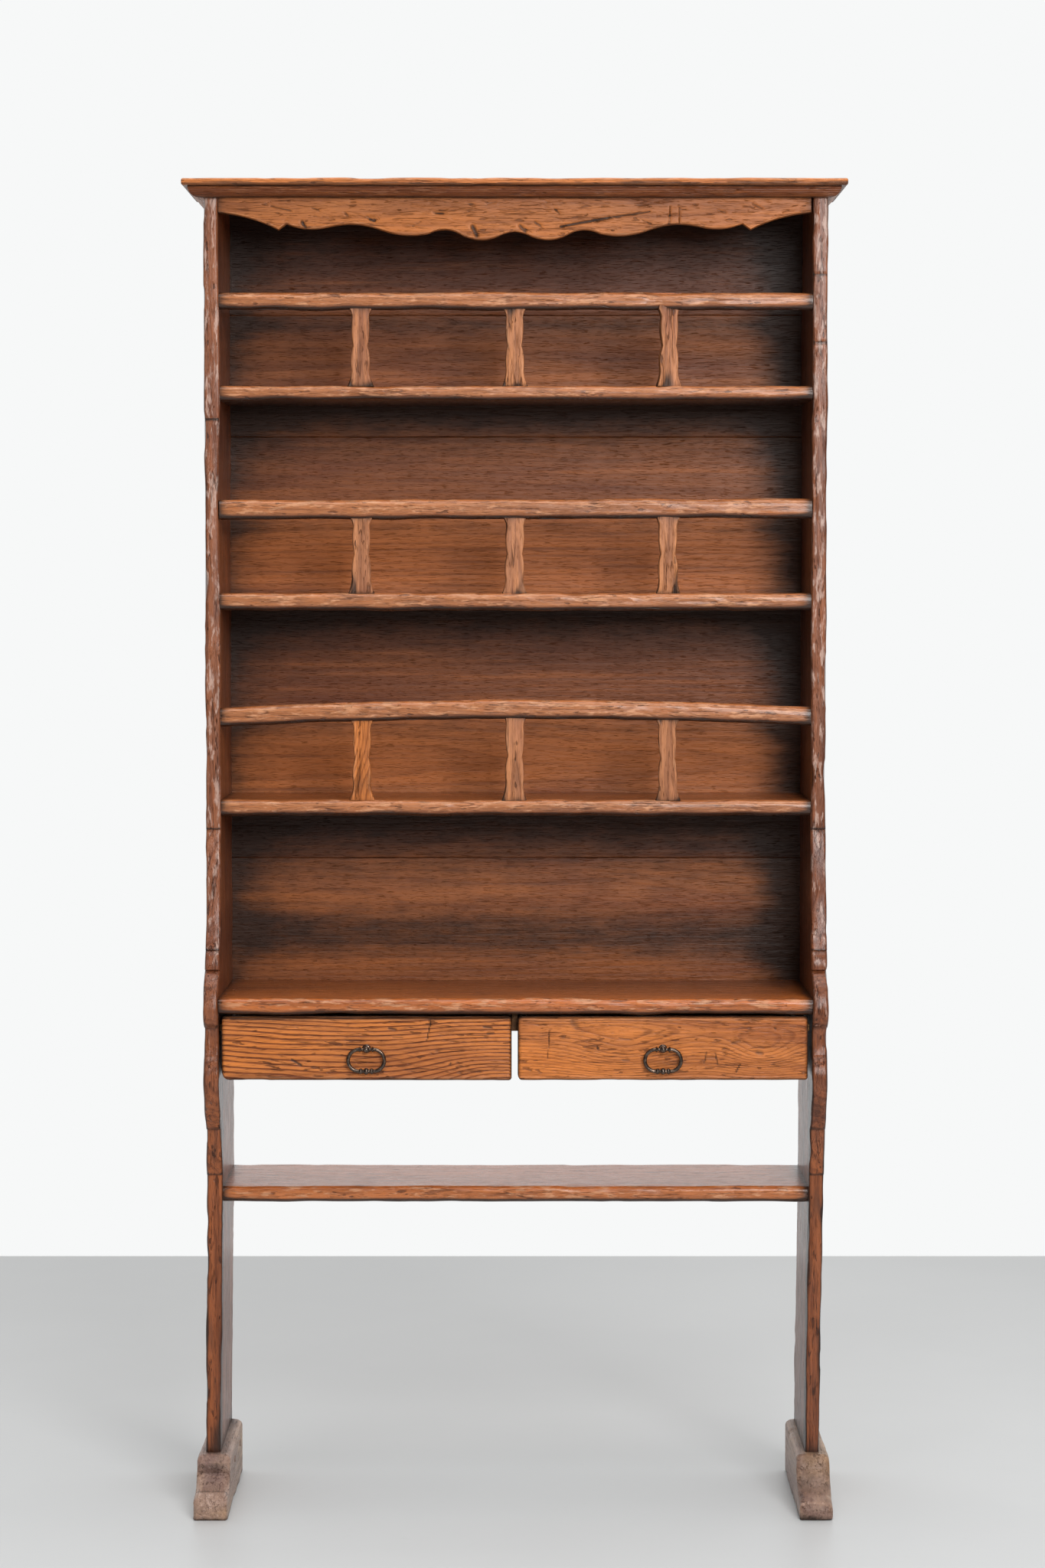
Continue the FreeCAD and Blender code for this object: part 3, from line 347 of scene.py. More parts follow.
def wood(look):
    """The finish of that name, made once."""
    if look not in WOODS:
        tones = bpy.context.scene.dresser_finish
        tone = tones.drawer_oak if "drawer_oak" in look else getattr(tones, look)
        worn = tones.worn_pale if look in ("foot_oak", "frame_oak") else tones.worn_oak
        palette = {"worn": tuple(worn), "grime_and_shade": tuple(tones.grime_and_shade)}
        WOODS[look] = oak(look, tuple(tone), palette, seed=101.0 * len(WOODS), **WOOD_LOOKS[look])
    return WOODS[look]


# Board building

EDGE_SHARE = 0.45  # the most of a side that the rounding of one corner takes
BLUNT = 0.05  # the least tangent or sine of half a corner, so that a sharp one stays finite
CREASE = math.radians(38)  # faces that meet at more than this show a sharp edge
HOUSED = 0.0004  # how far the shelves and rails are drawn into the side boards
NOSE = 0.02  # depth of the worn nose of a shelf or rail


def climb(value, start, width):
    """0 up to start, 1 from start + width on, and straight between."""
    return max(0.0, min(1.0, (value - start) / width))


def fade(distance, reach):
    """1 up to no distance, then dying out over reach."""
    return math.exp(-max(0.0, distance) / reach)


def bell(distance, reach):
    """1 at no distance, dying out over reach to both sides."""
    return math.exp(-(distance / reach) ** 2)


def rounded(corners, fills, steps=4, ease=0.009):
    """Section points (a, t, outward a, outward t, edge) of a polygon of corners (a, t, radius).

    Each flat also gets a point near both its ends, where the wear of the edge dies out, and fills[i]
    points between them."""
    count = len(corners)
    area = sum(corners[i - 1][0] * corners[i][1] - corners[i][0] * corners[i - 1][1] for i in range(count))
    side = 1 if area > 0 else -1
    points = []
    for i, (a, t, radius) in enumerate(corners):
        here = Vector((a, t))
        after = corners[(i + 1) % count]
        back = Vector(corners[i - 1][:2]) - here
        on = Vector(after[:2]) - here
        back_way, on_way = back.normalized(), on.normalized()
        arrive = Vector((-back_way.y, back_way.x)) * side
        leave = Vector((on_way.y, -on_way.x)) * side
        convex = (back_way.x * on_way.y - back_way.y * on_way.x) * side < 0
        half = math.acos(max(-1, min(1, back_way.dot(on_way)))) / 2
        reach = min(radius / max(math.tan(half), BLUNT), back.length * EDGE_SHARE, on.length * EDGE_SHARE)
        size = reach * math.tan(half)
        inward = (back_way + on_way).normalized()
        centre = here + inward * (size / max(math.sin(half), BLUNT))
        for k in range(steps + 1 if radius else 1):
            way = arrive.lerp(leave, k / steps if radius else 0.5)
            way = way.normalized() if way.length > 1e-6 else arrive
            spot = centre + way * size * (1 if convex else -1)
            points.append((spot.x, spot.y, way.x, way.y, 1.0 if convex else 0.0))
        start = here + on_way * reach
        stop = Vector(after[:2]) - on_way * min(after[2], on.length * EDGE_SHARE)
        gap = min(ease, (stop - start).length * 0.3)
        flat = [start + on_way * gap]
        flat += [start.lerp(stop, (k + 1) / (fills[i] + 1)) for k in range(fills[i])]
        flat.append(stop - on_way * gap)
        flat.sort(key=lambda p: (p - start).dot(on_way))
        points += [(p.x, p.y, leave.x, leave.y, 0.0) for p in flat]
    return points


def worn_height(spot, edge, sizes, wave):
    """How far a point of a worn board stands out from its drawn place."""
    slow = noise.noise(spot * 7.0)
    height = sizes.face_wave * slow
    if edge:
        quick = noise.noise(spot * 28.0 + Vector((5, 3, 1)))
        knock = max(0.0, noise.noise(spot * 21.0 + Vector((11, 7, 3))) - 0.28) / 0.72
        swing = sizes.edge_wave * wave * (0.6 * slow + 0.6 * quick)
        height += edge * (swing - sizes.chip_depth * wave * knock)
    return height


def sweep(name, stations, section_at, place, order, wave=1.0, marks=(), soil=None, rub=None, tint=0.0,
          inset_at=None):
    """A board swept through stations, its edges worn and its marks cut.

    order names the axes that run along, across and through the board. marks (start, stop, width, depth,
    darkness) are scratches and dents along a line. soil gives how dark a spot is from its place and facing:
    dirty wax, and painted shade where the board lies in shadow. rub gives its wear from its place, facing and
    nearness to an edge, which the finish shows as rubbed wood with pale flecks that partly paint highlights.
    tint lightens or darkens all of it, or a spot by its place and facing; on some boards that is painted
    light and shade. The finish reads all of these as attributes of the mesh."""
    sizes = bpy.context.scene.dresser_sizes
    seed = name_seed(name)
    shift = Vector((seed * 0.137, seed * 0.061, seed * 0.029))
    verts, wear, stain, shades = [], [], [], []
    for s in stations:
        inset = inset_at(s) if inset_at else 0.0
        for a, t, out_a, out_t, edge in section_at(s):
            drawn = place(s, a, t)
            way = (place(s, a + out_a, t + out_t) - drawn).normalized()
            height = worn_height(drawn + shift, edge, sizes, wave) - inset
            spot = place(s, a + out_a * height, t + out_t * height)
            # How dark the spot is: dirty wax, and painted shade where the board lies in shadow
            dirt_and_shade = soil(drawn, way) if soil else 0.0
            for start, stop, breadth, deep, dark in marks:
                line = stop - start
                along = climb((drawn - start).dot(line), 0.0, max(line.length_squared, 1e-12))
                away = (drawn - start - line * along).length / breadth
                if away < 1:
                    fall = (1 - away * away) ** 2
                    spot = spot - way * (deep * fall)
                    dirt_and_shade += dark * fall
            verts.append(spot)
            wear.append(rub(drawn, way, edge) if rub else edge)
            stain.append(min(1.0, dirt_and_shade))
            shades.append(tint(drawn, way) if callable(tint) else tint)
    width = len(verts) // len(stations)
    faces = tube(len(stations), width)
    faces += [tuple(range(width)), tuple(range(len(verts) - width, len(verts)))]
    centre = [(min(v[i] for v in verts) + max(v[i] for v in verts)) / 2 for i in range(3)]
    grain = [v[i] - centre[i] for v in verts for i in order]
    return board_mesh(name, verts, faces, {"grain": grain, "wear": wear, "stain": stain,
                                           "board": [seed] * len(verts), "tint": shades})


def tube(rings, width, closed=False):
    """Faces between rings of width points each, from the last back to the first when closed."""
    faces = []
    for i in range(rings if closed else rings - 1):
        j = (i + 1) % rings
        for k in range(width):
            n = (k + 1) % width
            faces.append((i * width + k, i * width + n, j * width + n, j * width + k))
    return faces


def board_mesh(name, verts, faces, attributes):
    """A smooth-shaded mesh object with its faces outwards and the board's attributes on it."""
    mesh = bpy.data.meshes.new(name)
    mesh.from_pydata(verts, [], faces)
    work = bmesh.new()
    work.from_mesh(mesh)
    bmesh.ops.recalc_face_normals(work, faces=work.faces)
    work.to_mesh(mesh)
    work.free()
    for key, values in attributes.items():
        kind, field = ("FLOAT_VECTOR", "vector") if key == "grain" else ("FLOAT", "value")
        mesh.attributes.new(key, kind, "POINT").data.foreach_set(field, values)
    mesh.polygons.foreach_set("use_smooth", [True] * len(mesh.polygons))
    mesh.set_sharp_from_angle(angle=CREASE)
    piece = bpy.data.objects.new(name, mesh)
    bpy.context.scene.collection.objects.link(piece)
    return piece


def adopt(piece, node, material):
    """Lets a piece stand for its CAD node: same body, the given material, and the node hidden."""
    piece.data.materials.append(material)
    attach(piece, BODY_OF[node])
    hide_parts(node)


def dress(node_object, material):
    """Gives a carried-over CAD node its material."""
    node_object.data.materials.clear()
    node_object.data.materials.append(material)


def swept_board(node, look, stations, section, place, order, **options):
    """Sweeps a board in the wood of that look, to stand for its CAD node."""
    adopt(sweep(node, stations, section, place, order, **options), node, wood(look))


def oblong(left, right, base, top, *radii):
    """Corners of a rectangle for rounded(), from the lower left one on: one radius for all, or four."""
    spots = ((left, base), (right, base), (right, top), (left, top))
    return [(*spot, radius) for spot, radius in zip(spots, radii * (4 // len(radii)))]


def face_marks(rows, front):
    """Marks on a front face from rows in millimetres: from x, z to x, z, width, depth, darkness."""
    return [(Vector((x * MM, front, z * MM)), Vector((u * MM, front, w * MM)), width * MM, deep * MM, dark)
            for x, z, u, w, width, deep, dark in rows]


def spaced(low, high, step):
    count = max(2, round((high - low) / step))
    return [low + (high - low) * i / count for i in range(count + 1)]


ALONG = {
    "X": lambda s, a, t: Vector((s, a, t)),
    "Y": lambda s, a, t: Vector((a, s, t)),
    "Z": lambda s, a, t: Vector((a, t, s)),
}
AXES = {"X": (0, 1, 2), "Y": (1, 0, 2), "Z": (2, 0, 1)}


def rounded_end(low, high, radius):
    """Inset that rounds both ends of a swept board."""
    def inset(s):
        near = min(s - low, high - s)
        return 0.0 if near >= radius else radius - math.sqrt(max(0.0, radius ** 2 - (radius - near) ** 2))
    return inset


def end_stations(low, high, step, radius):
    """Stations that crowd towards both rounded ends."""
    crowd = [radius * f for f in (0.0, 0.08, 0.25, 0.55)]
    middle = spaced(low + radius, high - radius, step)
    return [low + c for c in crowd] + middle + [high - c for c in crowd[::-1]]


def plank(node, axis, look, radius=0.0015, step=0.03, fills=(1, 4, 1, 4), **options):
    """A plain board that fills its node's box, its edges rubbed."""
    low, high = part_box(node)
    s, a, t = AXES[axis]
    section = rounded(oblong(low[a], high[a], low[t], high[t], radius), fills)
    swept_board(node, look, end_stations(low[s], high[s], step, radius), lambda _: section, ALONG[axis],
                AXES[axis], inset_at=rounded_end(low[s], high[s], radius), **options)


def name_seed(name):
    """A steady whole number for a piece's name."""
    return float(sum((i + 3) * ord(c) for i, c in enumerate(name)) % 997)


def arc_line(points, step):
    """Fine points along corners (u, v, swell), where swell bows the next stretch to the left of its way."""
    line = []
    for (u, v, swell), (nu, nv, _) in zip(points, points[1:]):
        here, there = Vector((u, v)), Vector((nu, nv))
        along = there - here
        side = Vector((-along.y, along.x)).normalized() if along.length else Vector((0, 0))
        count = max(1, round(along.length / step))
        for k in range(count):
            f = k / count
            line.append(here + along * f + side * (4 * swell * f * (1 - f)))
    line.append(Vector(points[-1][:2]))
    return line


class DRESSER_OT_side_boards(bpy.types.Operator):
    """Builds the side boards with their shaped front edges"""
    bl_idname = "dresser.side_boards"
    bl_label = "Side boards"

    # Front edge from the foot upwards: depth, height, swell of the next stretch
    PROFILE = (
        (-62, 78, 0), (-62, 501, 0), (-66, 501, 3), (-82, 573, 0), (-88, 573, 0), (-114, 612, 3),
        (-125, 655, 3), (-112, 686, -3), (-112, 729, 0), (-120, 729, 6), (-132, 764, 6), (-100, 812, 0),
        (-106, 814, 3), (-95.5, 842, 0), (-98, 842, -3), (-80, 925, 3), (-66.5, 1020, 0), (-69, 1020, 0),
        (-69, 1970, 0),
    )
    # Old cuts across the front edges, and the steps of the profile: height, depth, darkness
    CUTS = {"left": ((1628, 1.2, 0.9),), "right": ((1841, 0.8, 0.6), (1741, 0.8, 0.6))}
    STEPS = ((1020, 1.0, 0.8), (842, 0.3, 0.7), (729, 0.3, 0.8), (573, 0.3, 0.8), (501, 0.3, 0.8))
    CUT_WIDTH = 0.004
    # Depth and width of the rebate for the back boards, and of the square edge below it
    REBATE, SQUARE = (0.012, 0.010), (0.0004, 0.0004)
    # The legs' dark streaks, the painted shade on their sides and their tint set in below a height over a
    # stretch, and the legs lean below another height
    LEG_TOP, LEG_BLEND, LEAN_TOP = 0.75, 0.2, 0.5

    def execute(self, context):
        for side, sign in SIDES:
            self.build(context.scene.dresser_sizes, side, sign)
        return {"FINISHED"}

    def build(self, sizes, side, sign):
        node = f"{side}_side_board"
        low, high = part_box(node)
        counter_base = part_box("counter_shelf")[0].z
        foot_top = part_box("left_foot")[1].z
        line = [p * MM for p in arc_line(self.PROFILE, 3.0)]
        inner, outer = (high.x, low.x) if sign < 0 else (low.x, high.x)
        lean, spread = (sizes.left_lean, 0.0) if sign < 0 else (sizes.right_lean, sizes.right_spread)
        # Painted shade on the inner faces, deeper on the right; the right board is also darkened all over as
        # painted shade
        inner_soil, darker = (0.14, 0.0) if sign < 0 else (0.4, 0.32)

        def section(index):
            front, z = line[index]
            deep, wide = self.REBATE if z > counter_base else self.SQUARE
            loose = 0.0024 if z > self.LEG_TOP else 0.0008
            wander = [loose * noise.noise(Vector((z * 5.0, sign * 3.0, k))) for k in range(2)]
            corners = [(outer + wander[0], front, sizes.side_rounding),
                       (inner + wander[1], front, sizes.side_rounding),
                       (inner, high.y - deep, 0.0006), (inner + sign * wide, high.y - deep, 0.0002),
                       (inner + sign * wide, high.y, 0.0002), (outer, high.y, 0.0015)]
            return rounded(corners, (1, 12, 0, 0, 0, 12))

        def place(index, a, t):
            z = line[index].y
            return Vector((a + spread - lean * max(0.0, 1 - z / self.LEAN_TOP), t, z))

        def leg(spot):
            return climb(-spot.z, -self.LEG_TOP, self.LEG_BLEND)

        # Painted shade on the inner faces and on the sides of the front edge; dark streaks down the legs;
        # darker just above the feet
        def soil(spot, way):
            if spot.z > counter_base and -sign * way.x > 0.5:
                return inner_soil
            sides = 0.25 * max(0.0, -sign * way.x)
            if spot.y < -0.04:
                streak = max(0.0, noise.noise(Vector((spot.x * 60, sign, spot.z * 14))))
                sides = (0.45 + 0.3 * leg(spot)) * abs(way.x) + 0.9 * leg(spot) * streak
            return sides + 0.6 * fade(spot.z - foot_top, 0.015)

        def rub(spot, way, edge):
            near = fade(spot.y - low.y - 0.07, 0.01)
            return climb(spot.z, 0.45, 0.6) * max(edge * near, 0.92 * max(0.0, -way.y))

        def tint(spot, way):
            return (0.4 * leg(spot) if spot.y < -0.03 else 0.0) - darker

        marks = []
        for height, deep, dark in (*self.CUTS[side], *self.STEPS):
            z = height * MM
            front = min(p.x for p in line if abs(p.y - z) < self.CUT_WIDTH)
            start, stop = Vector((inner, front, z)), Vector((outer, front, z))
            marks.append((start, stop, self.CUT_WIDTH, deep * MM, dark))
        swept_board(node, "frame_oak", range(len(line)), section, place, (2, 1, 0), wave=2.2, marks=marks,
                    soil=soil, rub=rub, tint=tint)


class DRESSER_OT_feet(bpy.types.Operator):
    """Builds the sledge feet with their scuffed toes"""
    bl_idname = "dresser.feet"
    bl_label = "Feet"

    # Upper edges from the toe to the back: depth, height, swell of the next stretch
    PROFILES = {
        "left": ((-159, 22, 0), (-155, 32, 2.0), (-130, 37, -5.5), (-92, 56, 3.0), (-85, 73, 2.0),
                 (-75, 80, 0), (159, 80, 0)),
        "right": ((-159, 15, 0), (-155, 23, 2.0), (-130, 32, -4.0), (-89, 62, 3.0), (-75, 80, 0),
                  (159, 80, 0)),
    }
    SHIFTS = {"left": -0.001, "right": -0.003}
    END_ROUNDING = 0.008
    TOE = -0.07  # depth in front of which the toe lies

    def execute(self, context):
        pegs = end_grain("peg_end_grain", tuple(context.scene.dresser_finish.foot_oak))
        for side, sign in SIDES:
            self.build(context.scene.dresser_sizes.foot_rounding, side, sign)
            dress(frame["nodes"][f"{side}_foot_pegs"], pegs)
        return {"FINISHED"}

    def build(self, radius, side, sign):
        node = f"{side}_foot"
        low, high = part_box(node)
        line = [p * MM for p in arc_line(self.PROFILES[side], 3.0)]
        shift, middle = self.SHIFTS[side], (low.x + high.x) / 2
        blunt = rounded_end(low.y, high.y, self.END_ROUNDING)

        def section(index):
            depth, top = line[index]
            base = max(0.0, 0.008 - (depth - low.y) * 4)
            narrow = blunt(depth)
            left, right = low.x + narrow + shift, high.x - narrow + shift
            return rounded(oblong(left, right, base, top, 0.002, 0.002, radius, radius), (2, 4, 4, 4))

        # Painted contact shadow along the floor and low on the toe's front; dark lines at the left foot's
        # hollow, darker towards the middle of the top where the leg stands, and dark spots on the right toe
        def soil(spot, way):
            hollow = leg = toe = worn = 0.0
            if sign < 0 and way.z > 0.1:
                hollow = 0.6 * bell(spot.y + 0.131, 0.003) + 0.4 * bell(spot.y + 0.091, 0.003)
                hollow += 0.35 * bell(spot.x - middle, 0.005) * bell(spot.y + 0.108, 0.012)
            if way.z > 0.8 and spot.y > self.TOE:
                leg = 0.5 * fade(abs(spot.x - middle), 0.03)
            if way.y < -0.5:
                toe = 0.3 * fade(spot.z, 0.012)
            if sign > 0 and spot.y < self.TOE:
                worn = 0.6 * max(0.0, noise.noise(spot * 34.0))
            return hollow + toe + worn + leg + 0.8 * fade(spot.z, 0.004)

        # On the right foot a narrow pale band across the toe's bevel is a painted highlight
        def rub(spot, way, edge):
            toe = climb(-spot.y, 0.115, 0.03) * (0.9 if abs(way.x) < 0.7 else 0.4)
            worn = max(0.5 * edge, toe)
            return worn if sign < 0 else 0.35 * worn + bell(spot.y + 0.152, 0.003)

        def tint(spot, way):
            dull = sign > 0 and spot.y < self.TOE and way.z > 0.2
            return -0.35 - 0.4 * noise.noise(spot * 45.0) if dull else 0.0

        swept_board(node, "foot_oak", range(len(line)), section, lambda s, a, t: Vector((a, line[s].x, t)),
                    (1, 0, 2), wave=1.5, soil=soil, rub=rub, tint=tint)


class DRESSER_OT_cornice(bpy.types.Operator):
    """Builds the cornice board and its mitred cove moulding"""
    bl_idname = "dresser.cornice"
    bl_label = "Cornice"

    # Fillets above and below the cove, and how far the cove is hollowed
    FILLET, HOLLOW = 0.003, 0.0045

    def execute(self, context):
        self.board()
        low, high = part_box("cornice_front_moulding")
        wall, reach, base, top = high.y, low.y, low.z, high.z
        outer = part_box("right_side_board")[1].x
        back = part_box("cornice_right_return")[1].y
        cove = arc_line([(reach, top - self.FILLET, -self.HOLLOW), (wall - self.FILLET, base, 0)], 0.003)
        corners = [(wall, base, 0.0003), (wall, top, 0.0003), (reach, top, 0.0006)]
        corners += [(p.x, p.y, 0.0008 if i in (0, len(cove) - 1) else 0.0) for i, p in enumerate(cove)]
        section = rounded(corners, [0] * len(corners), steps=2, ease=0.002)

        # Painted shade along the moulding's upper and lower rims, with patchy darkening
        def rims(spot, way):
            rim = min(top - spot.z, spot.z - base)
            return 0.7 * fade(rim, 0.002) + 0.25 * max(0.0, noise.noise(spot * 24.0))

        def moulding(node, stations, place, axis, **options):
            swept_board(node, "crown_oak", stations, lambda _: section, place, AXES[axis], **options)

        # The front moulding is darkened all over as painted shade under the board's overhang
        moulding("cornice_front_moulding", spaced(-1.0, 1.0, 0.012),
                 lambda f, a, t: Vector((f * (outer + wall - a), a, t)), "X", wave=0.8, tint=-0.85,
                 soil=rims)
        for side, sign in SIDES:
            moulding(f"cornice_{side}_return", spaced(0.0, 1.0, 0.03),
                     lambda f, a, t: Vector((sign * (outer + wall - a), back + f * (a - back), t)), "Y",
                     wave=0.6, tint=-0.2)
        return {"FINISHED"}

    def board(self):
        low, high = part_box("cornice_top_board")
        middle = (low.z + high.z) / 2

        def soil(spot, way):
            return 0.55 if spot.z < middle - 0.001 + 0.003 * noise.noise(spot * 19.0) else 0.0

        plank("cornice_top_board", "X", "crown_oak", radius=0.003, step=0.006, fills=(6, 1, 6, 1), wave=1.6,
              soil=soil, tint=lambda spot, way: 0.5 if spot.y < low.y + 0.01 else -0.3)


class DRESSER_OT_valance(bpy.types.Operator):
    """Builds the scalloped valance with its old knocks"""
    bl_idname = "dresser.valance"
    bl_label = "Valance"

    # Half of the lower edge from the middle: distance, height, swell of the next stretch
    SCALLOPS = ((0, 1905, -1.2), (24, 1898, 6), (78, 1900, -6.5), (126, 1902, 5.5), (200, 1908, -5.5),
                (275, 1912, 5), (337, 1916, 0), (349, 1907, -5), (438, 1932, 0))
    # Knocks and gouges: from x, z to x, z, width, depth, darkness
    KNOCKS = (
        (68, 1912, 140, 1925, 3.2, 1.2, 0.9), (140, 1925, 200, 1934, 2.4, 0.8, 0.8),
        (228, 1913, 230, 1942, 2.2, 0.8, 0.6), (243, 1914, 244, 1940, 2.2, 0.8, 0.6),
        (-314, 1919, -309, 1911, 4, 1.4, 0.7), (-62, 1912, -56, 1899, 6, 1.6, 0.7),
        (8, 1913, 16, 1905, 5, 1.4, 0.7), (30, 1918, 38, 1913, 4, 1.2, 0.6),
        (-218, 1926, -208, 1921, 5, 1.0, 0.5), (-360, 1942, -330, 1935, 2.4, 0.8, 0.6),
        (-250, 1932, -246, 1927, 3.5, 1.0, 0.5), (-120, 1933, -105, 1930, 2.6, 0.7, 0.5),
        (-40, 1946, -28, 1948, 3.5, 0.9, 0.5), (300, 1936, 312, 1932, 3.0, 0.8, 0.5),
        (60, 1937, 66, 1931, 3.0, 0.8, 0.5), (352, 1945, 366, 1938, 3.0, 0.8, 0.5),
    )
    STROKES = 60

    def execute(self, context):
        low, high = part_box("valance")
        right = [p * MM for p in arc_line([(x, z, -swell) for x, z, swell in self.SCALLOPS], 2.0)]
        line = [Vector((-p.x, p.y)) for p in right[:0:-1]] + right

        def section(index):
            base = line[index].y
            corners = oblong(low.y, high.y, base, high.z, 0.0028, 0.002, 0.0005, 0.0005)
            return rounded(corners, (0, 3, 0, 32))

        # Darker towards both ends, and painted shade on faces turned downwards
        def soil(spot, way):
            return 0.5 * fade(high.x - abs(spot.x), 0.012) + 0.35 * max(0.0, -way.z)

        swept_board("valance", "crown_oak", range(len(line)), section,
                    lambda s, a, t: Vector((line[s].x, a, t)), (0, 2, 1), soil=soil,
                    marks=face_marks((*self.KNOCKS, *self.strokes()), low.y),
                    tint=lambda spot, way: 0.4 * climb(spot.x, 0.2, 0.15))
        return {"FINISHED"}

    def strokes(self):
        """Rows like those of the knocks, for short old tool strokes strewn over the board."""
        dice = random.Random(7)
        for _ in range(self.STROKES):
            x, z = dice.uniform(-425, 425), dice.uniform(1906, 1950)
            reach, slope = dice.uniform(2, 7), dice.uniform(-0.5, 0.5)
            yield (x - reach, z - reach * slope, x + reach, z + reach * slope, dice.uniform(1.4, 2.2), 0.5,
                   dice.uniform(0.3, 0.6))


def inner_half():
    """Half of the length of a shelf or rail between the side boards."""
    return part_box("right_side_board")[0].x + HOUSED


def nosed_board(node, section, wave, lift=0.0, reach=1.0):
    """A shelf or rail between the side boards, its nose rubbed, with painted light above and painted shade
    below.

    lift brightens the whole board and dies out over reach behind the nose."""
    half, nose_back = inner_half(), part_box(node)[0].y + NOSE

    # Darker towards the ends at the side boards, and painted shade on the faces turned down
    def soil(spot, way):
        return 0.75 * fade(half - abs(spot.x), 0.011) + 0.95 * climb(-1.6 * way.z, 0.2, 1.0)

    # Wear on the front and upper faces; its pale flecks partly paint highlights
    def rub(spot, way, edge):
        return max(edge, 0.9 * max(0.0, -way.y)) * climb(way.z, -0.9, 1.0)

    # Painted light and shade on the nose: lighter on faces turned up, darker on faces turned down
    def tint(spot, way):
        nose = 0.72 * way.z - 0.15 if spot.y < nose_back else 0.0
        return lift * fade(spot.y - nose_back, reach) + nose

    stations = spaced(-half, half + bpy.context.scene.dresser_sizes.right_spread, 0.004)
    swept_board(node, "shelf_oak", stations, section, ALONG["X"], AXES["X"], wave=wave, soil=soil, rub=rub,
                tint=tint)


class DRESSER_OT_shelves(bpy.types.Operator):
    """Builds the plate shelves, the counter and the stretcher shelf with their worn noses"""
    bl_idname = "dresser.shelves"
    bl_label = "Shelves"

    # Lighter wood than the plate shelves: by this share, dying out over this depth behind the nose
    LIFTS = {"counter_shelf": (0.95, 0.06), "stretcher_shelf": (0.7, 1.0)}

    def execute(self, context):
        for node in (*PLATE_SHELVES, *self.LIFTS):
            self.build(context.scene.dresser_sizes, node)
        return {"FINISHED"}

    def build(self, sizes, node):
        low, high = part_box(node)
        seed = name_seed(node)
        calm = 0.5 if node == "stretcher_shelf" else 1.0

        def section(s):
            front = low.y + 0.0012 * noise.noise(Vector((s * 9, seed, 0)))
            under = low.z - 0.0014 * calm + 0.0022 * calm * noise.noise(Vector((s * 13, seed, 4)))
            over = high.z + 0.0010 * noise.noise(Vector((s * 13, seed, 8)))
            corners = [(front, under, sizes.under_rounding), (high.y, low.z, 0.001), (high.y, high.z, 0.001),
                       (front, over, sizes.nose_rounding)]
            return rounded(corners, (5, 0, 7, 1), steps=6)

        nosed_board(node, section, 1.6 * calm, *self.LIFTS.get(node, ()))


class DRESSER_OT_rails(bpy.types.Operator):
    """Builds the plate rails of the galleries"""
    bl_idname = "dresser.rails"
    bl_label = "Plate rails"

    # How far each rail has crept up at its left and right ends, in millimetres
    CREEP = {"upper": (1.6, 1.0), "middle": (1.0, 3.2), "lower": (0.3, 2.2)}

    def execute(self, context):
        for level in LEVELS:
            self.build(context.scene.dresser_sizes, level)
        return {"FINISHED"}

    def build(self, sizes, level):
        node = f"{level}_gallery_rail"
        low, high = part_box(node)
        half, seed = inner_half(), name_seed(node)
        bow = sizes.rail_bow if level == "lower" else 0.0
        start, stop = self.CREEP[level]

        def section(s):
            rise = bow * (1 - (s / half) ** 2) + (start + (stop - start) * (s / half + 1) / 2) * MM
            top = high.z - bow + rise + 0.0009 * noise.noise(Vector((s * 9, seed, 0)))
            base = low.z - 0.0022 + rise + 0.0020 * noise.noise(Vector((s * 12, seed, 4)))
            corners = oblong(low.y, high.y, base, top, sizes.rail_rounding)
            return rounded(corners, (0, 0, 0, 0), steps=5, ease=0.003)

        nosed_board(node, section, 1.5)


